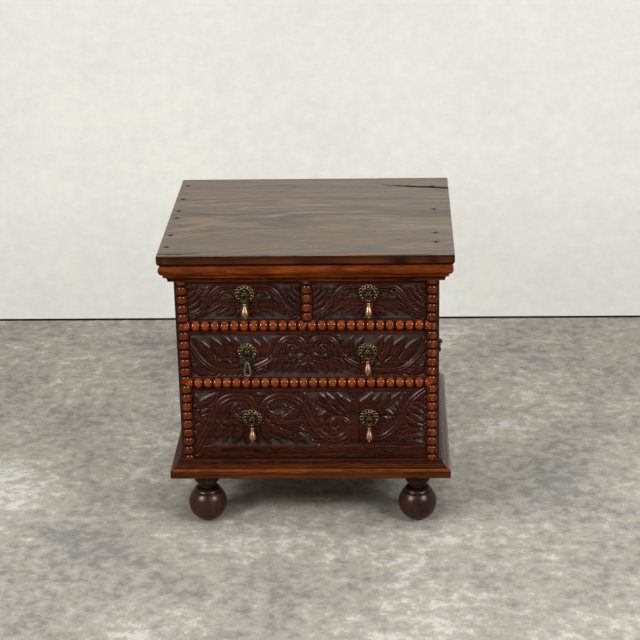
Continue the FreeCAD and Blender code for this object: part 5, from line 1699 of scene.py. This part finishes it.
@dataclass
class Feet:
    """Four turned ball feet, slightly out of round, with lines cut at the neck."""

    ball: float = 38.3
    groove: float = 28.5
    flat: float = 7.8
    neck: float = 17.3
    neck_height: float = 72.5
    shoulder: float = 24.8
    shoulder_height: float = 86.0
    height: float = 108.0
    tenon: float = 12.0
    tenon_length: float = 26.0
    sides: int = 88

    def build(self) -> None:
        """Build the feet and put them in their nodes' places."""
        for seed, name in enumerate(("front_left", "front_right", "rear_left", "rear_right")):
            node = "foot_" + name
            low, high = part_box(node)
            middle = (low + high) / (2 * METRES)
            verts, faces = lathe(np.array(self._profile()), self.sides)
            verts = self._aged(verts, seed)
            depth = self._dirt_and_shade(verts)
            piece = make_piece(node + "_turned", verts + (middle.x, middle.y, 0.0), faces, {"grime": depth}, 60.0)
            piece.data.materials.append(FOOT_WOOD.material(Grain.ALONG_Z, 90 + seed))
            settle(piece, node)

    def _profile(self) -> list[Point]:
        """Return the foot's section from the floor up, as radius and height."""
        middle = math.sqrt(self.ball ** 2 - self.flat ** 2)
        profile = [(0.0, 0.0), (4.0, 0.0)]
        first, last = math.asin(self.flat / self.ball), math.asin(self.groove / self.ball)
        for angle in first + np.linspace(0, 1, 44) * (math.pi - last - first):
            profile.append((self.ball * math.sin(angle), middle - self.ball * math.cos(angle)))
        line = middle + math.sqrt(self.ball ** 2 - self.groove ** 2)
        profile += [(27.6, line + 0.2), (27.3, line + 0.9), (27.6, line + 1.5), (27.2, line + 2.2)]
        profile += arc_points((27.0, line + 2.6), (23.0, line + 7.2), (self.neck + 0.4, self.neck_height - 1.2), 14)
        profile += [(self.neck - 0.5, self.neck_height - 0.6), (self.neck - 0.5, self.neck_height + 0.3)]
        reach, rise = self.shoulder - 1.2 - self.neck, self.shoulder_height - self.neck_height
        for angle in np.linspace(0.04, 1, 12) * math.pi / 2:
            profile.append((self.neck + reach * (1 - math.cos(angle)), self.neck_height + rise * math.sin(angle)))
        profile += [(self.shoulder - 0.5, self.shoulder_height + 0.1), (self.shoulder, self.shoulder_height + 0.8)]
        profile += [(self.shoulder, z) for z in np.linspace(self.shoulder_height + 2, self.height - 0.6, 9)]
        profile += [(self.shoulder - 0.4, self.height), (self.tenon, self.height)]
        top = self.height + self.tenon_length
        return profile + [(self.tenon, top - 0.5), (self.tenon - 0.6, top), (0.0, top)]

    def _aged(self, verts: np.ndarray, seed: int) -> np.ndarray:
        """Return the turned shape with slow waves and small knocks, never outside its turned size."""
        angle = np.arctan2(verts[:, 1], verts[:, 0])
        rng = np.random.default_rng(seed + 300)
        phase = rng.uniform(0, 2 * math.pi, 3)
        wave = 0.5 + 0.3 * np.sin(2 * angle + phase[0]) + 0.2 * np.sin(3 * angle + verts[:, 2] / 14 + phase[1])
        loss = 0.004 * wave + 0.002 * (1 + np.sin(5 * angle + verts[:, 2] / 6 + phase[2]))
        knocks = np.zeros(len(verts))
        for _ in range(9):
            side, level, size = rng.uniform(-math.pi, math.pi), rng.uniform(8, 66), rng.uniform(2.5, 6.0)
            away = np.hypot(np.angle(np.exp(1j * (angle - side))) * 32, verts[:, 2] - level)
            knocks += smooth(1 - away / size) * rng.uniform(0.2, 0.6)
        reach = np.maximum(np.hypot(verts[:, 0], verts[:, 1]), 1e-6)
        body = (verts[:, 2] > 0.5) & (verts[:, 2] < self.height - 0.5) & (reach > self.tenon + 1)
        share = 1 - (loss + knocks / 38) * body
        return verts * np.stack([share, share, np.ones(len(verts))], axis=1)

    def _dirt_and_shade(self, verts: np.ndarray) -> np.ndarray:
        """Return where the feet are darkened: dirt in the turned lines, and painted shade in the neck under the
        shoulder and towards the top under the plinth.
        """
        z = verts[:, 2]
        groove = np.exp(-(((z - 64.4) / 1.6) ** 2))
        neck = np.exp(-(((z - self.neck_height) / 2.4) ** 2))
        return np.clip(0.7 * groove + 0.8 * neck + 0.5 * smooth((z - 88) / 14), 0, 1)


@dataclass
class CaseNails:
    """Wrought nails that hold the back boards to the case."""

    back: float = 234.0
    half_x: float = 240.0
    foot: float = 170.0
    head: float = 3.6
    sunk: float = 0.7
    count: int = 7
    spacing: float = 58.0

    def build(self) -> None:
        """Scatter the nail heads along both edges and dress them."""
        tree = self._tree()
        iron = IRON.material()
        for seed, (name, side) in enumerate((("back_nails_left", -1.0), ("back_nails_right", 1.0))):
            values = {"Count": self.count, "Spacing": self.spacing, "Head": self.head, "Seed": seed}
            shift = (side * self.half_x, self.back - self.sunk, self.foot)
            piece = place_mesh(name, tree.run(name, iron, values), np.eye(3), shift)
            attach(piece, body_of("back_boards"))
            LOG.info("built %s", name)

    def _tree(self) -> GeometryTree:
        """Build the node tree of a column of nail heads."""
        made = GeometryTree("nail heads", Count="Int", Spacing="Float", Head="Float", Seed="Int")
        given = made.given
        rise = made.get("ShaderNodeCombineXYZ", None, {2: given["Spacing"]})
        line = made.get("GeometryNodeMeshLine", {"mode": "OFFSET"}, {"Count": given["Count"], "Offset": rise})
        ranges = (((-3.0, 0.0, -5.0), (3.0, 0.0, 5.0)), ((0.0, 0.0, 0.0), (0.0, 6.2, 0.0)))
        draws = ({0: low, 1: high, "Seed": given["Seed"]} for low, high in ranges)
        stray, twist = (made.get("FunctionNodeRandomValue", {"data_type": "FLOAT_VECTOR"}, draw) for draw in draws)
        moved = made.get("GeometryNodeSetPosition", None, {"Geometry": line, "Offset": stray})
        head = made.get("GeometryNodeMeshUVSphere", None, {"Segments": 9, "Rings": 7, "Radius": given["Head"]})
        flat = made.get("GeometryNodeTransform", None, {"Geometry": head, "Scale": (1.0, 0.28, 0.9)})
        values = {"Points": moved, "Instance": flat, "Rotation": twist}
        made.finish(made.get("GeometryNodeInstanceOnPoints", None, values))
        return made


@dataclass(frozen=True)
class Lamp:
    """A soft square lamp that faces the chest; a card is only seen in shiny surfaces."""

    name: str
    azimuth: float
    elevation: float
    distance: float
    size: float
    power: float
    card: bool = False

    def hang(self) -> None:
        """Hang the lamp and aim it at the chest's middle."""
        data = bpy.data.lights.new(self.name, "AREA")
        data.shape = "SQUARE"
        data.size = self.size
        data.energy = self.power
        lamp = bpy.data.objects.new(self.name, data)
        lamp.visible_diffuse = not self.card
        bpy.context.scene.collection.objects.link(lamp)
        a, e = math.radians(self.azimuth), math.radians(self.elevation)
        back = Vector((math.sin(a) * math.cos(e), -math.cos(a) * math.cos(e), math.sin(e)))
        lamp.location = Vector((0.0, 0.0, 0.35)) + back * self.distance
        lamp.rotation_euler = (-back).to_track_quat("-Z", "Y").to_euler()


# Two soft boxes in front, each with a card that only shiny wood shows, one lamp overhead and one behind.
LAMPS = (
    Lamp("key_left", -43.0, 27.0, 2.6, 0.6, 33.0),
    Lamp("key_right", 49.0, 27.0, 2.6, 0.6, 32.0),
    Lamp("card_left", -43.0, 27.0, 2.6, 0.85, 55.0, True),
    Lamp("card_right", 49.0, 27.0, 2.6, 0.85, 55.0, True),
    Lamp("overhead", 0.0, 80.0, 3.2, 2.2, 48.0),
    Lamp("rear", 160.0, 30.0, 3.2, 1.6, 16.0),
)


@dataclass
class Studio:
    """Camera, lamps, pale floor and wall."""

    eye: Place = (167.0, -3408.0, 1712.0)
    pitch: float = 21.62
    yaw: float = -2.55
    roll: float = -1.25
    lens: float = 101.36
    wall_y: float = 912.0
    wall_gap: float = 6.0
    reach: float = 9000.0
    fill: float = 0.13
    backdrop: float = 0.86

    def build(self) -> None:
        """Build everything that is not part of the chest."""
        self._camera()
        self._floor_and_wall()
        for lamp in LAMPS:
            lamp.hang()
        self._world()
        bpy.context.scene.view_settings.view_transform = "Standard"

    def _camera(self) -> None:
        """Set the camera where the picture was taken from."""
        pitch, yaw, roll = (math.radians(a) for a in (self.pitch, self.yaw, self.roll))
        ahead = Vector((math.sin(yaw) * math.cos(pitch), math.cos(yaw) * math.cos(pitch), -math.sin(pitch)))
        right = Vector((math.cos(yaw), -math.sin(yaw), 0.0))
        up = right.cross(ahead)
        c, s = math.cos(roll), math.sin(roll)
        right, up = c * right + s * up, c * up - s * right
        data = bpy.data.cameras.new("camera")
        data.lens = self.lens
        data.clip_end = 50.0
        camera = bpy.data.objects.new("camera", data)
        bpy.context.scene.collection.objects.link(camera)
        turn = Matrix((right, up, -ahead)).transposed().to_4x4()
        camera.matrix_world = Matrix.Translation(Vector(self.eye) * METRES) @ turn
        bpy.context.scene.camera = camera

    def _surface(
        self, name: str, corners: Sequence[Place], shades: Sequence[str], one_sided: bool, glow: float = 0.0
    ) -> None:
        """Add a stage surface mottled through some shades, seen from one side only if asked.

        Args:
            name: the surface's name.
            corners: its four corners in millimetres.
            shades: hex colours from the darkest patches to the lightest.
            one_sided: whether it can't be seen from behind and casts no shadow.
            glow: light that it shows to the camera and in reflections, as a share of its colour.
        """
        surface = make_piece(name, np.array(corners, float), [(0, 1, 2, 3)], mend=False)
        tree = ShaderTree(name)
        moved = tree.get("ShaderNodeMapping", None, {"Vector": tree.place, "Location": (4.6, 2.2, 0.0)})
        clouds, grit = tree.noise(moved, 3.0, 5.0, 0.65), tree.noise(moved, 34.0, 5.0, 0.75)
        both = tree.get("ShaderNodeMix", {"data_type": "FLOAT"}, {0: 0.55, 2: clouds, 3: grit})
        last = len(shades) - 1
        colour = tree.ramp(both, [(0.4 + 0.2 * index / last, shade) for index, shade in enumerate(shades)])
        rays = tree.node("ShaderNodeLightPath").outputs
        seen = tree.math("MAXIMUM", rays["Is Camera Ray"], rays["Is Glossy Ray"])
        shader = tree.get("ShaderNodeBsdfPrincipled", None, {
            "Base Color": colour,
            "Roughness": 0.85,
            "Specular IOR Level": 0.2,
            "Emission Color": colour,
            "Emission Strength": tree.math("MULTIPLY", seen, glow),
        })
        if one_sided:
            behind = tree.node("ShaderNodeNewGeometry").outputs["Backfacing"]
            either = tree.math("MAXIMUM", behind, rays["Is Shadow Ray"])
            clear = tree.get("ShaderNodeBsdfTransparent")
            shader = tree.get("ShaderNodeMixShader", None, {0: either, 1: shader, 2: clear})
        surface.data.materials.append(tree.finish(shader))

    def _floor_and_wall(self) -> None:
        """Lay a worn concrete floor and stand a pale wall behind the chest, with a dark strip of painted shade in
        the gap at its foot.
        """
        far = self.reach
        floor = [(-far, -far, 0), (far, -far, 0), (far, far, 0), (-far, far, 0)]
        self._surface("floor", floor, ("#8b8a84", "#a5a197", "#b6b0a3", "#d2d1c9"), False)
        y, gap = self.wall_y, self.wall_gap
        wall = [(-far, y, gap), (far, y, gap), (far, y, far / 2), (-far, y, far / 2)]
        self._surface("wall", wall, ("#b2b2ad", "#b9b9b3"), True, 0.85)
        # A dark strip in the gap under the wall paints its shade.
        foot = [(-far, y + 1, 0), (far, y + 1, 0), (far, y + 1, gap), (-far, y + 1, gap)]
        self._surface("wall_foot_shade", foot, ("#1c1917", "#2c2825"), True)

    def _world(self) -> None:
        """Fill with dim light, and show a pale background to the camera."""
        world = bpy.data.worlds.new("studio")
        world.use_nodes = True
        world.node_tree.nodes.clear()
        tree = Tree(world.node_tree)
        seen = tree.node("ShaderNodeLightPath").outputs["Is Camera Ray"]
        strength = tree.step(seen, 0.0, 1.0, self.fill, self.backdrop, soft=False)
        sky = tree.get("ShaderNodeBackground", None, {"Color": linear("#f1f0ec"), "Strength": strength})
        tree.node("ShaderNodeOutputWorld", None, {"Surface": sky})
        bpy.context.scene.world = world


class PlainPieces:
    """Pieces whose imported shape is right, each given its own board of wood or its metal."""

    def build(self) -> None:
        """Dress every such node."""
        boards = [
            (CASE_OAK, Grain.ALONG_Z, ("side_left", "side_right")),
            (CASE_OAK, Grain.ALONG_X, ("top_rail", "rail_upper", "rail_lower", "bottom_rail")),
            (CASE_OAK, Grain.ALONG_Z, ("muntin",)),
            (INNER_OAK, Grain.ALONG_X, ("bottom_board", "back_boards")),
            (INNER_OAK, Grain.ALONG_Y, ("centre_runner", "side_runners", "kickers")),
            (CASE_OAK, Grain.ALONG_X, ("corner_blocks",)),
        ]
        for name in DRAWERS:
            boards.append((INNER_OAK, Grain.ALONG_Y, (f"drawer_{name}_sides",)))
            boards.append((INNER_OAK, Grain.ALONG_X, (f"drawer_{name}_back", f"drawer_{name}_bottom")))
        flat = [(finish, grain, node) for finish, grain, nodes in boards for node in nodes]
        for seed, (finish, grain, node) in enumerate(flat):
            self._dress(node, finish.material(grain, seed + 20))
        iron = IRON.material()
        for node in ("ring_left", "ring_right", "ring_staples"):
            self._dress(node, iron)
        self._dress("lid_nails", NAIL_IRON.material())

    def _dress(self, node: str, material: bpy.types.Material) -> None:
        """Give a CAD node one material."""
        mesh = frame["nodes"][node].data
        mesh.materials.clear()
        mesh.materials.append(material)
        LOG.info("dressed %s", node)


def main() -> None:
    """Build the studio and every piece of the chest."""
    logging.basicConfig(level=logging.INFO, format="%(message)s")
    builders = [Studio(), PlainPieces(), *carved_fronts(), BeadStrings(), Mouldings(), Lid(), Feet(), Pulls()]
    for builder in (*builders, CaseNails()):
        builder.build()


if __name__ == "__main__":
    main()
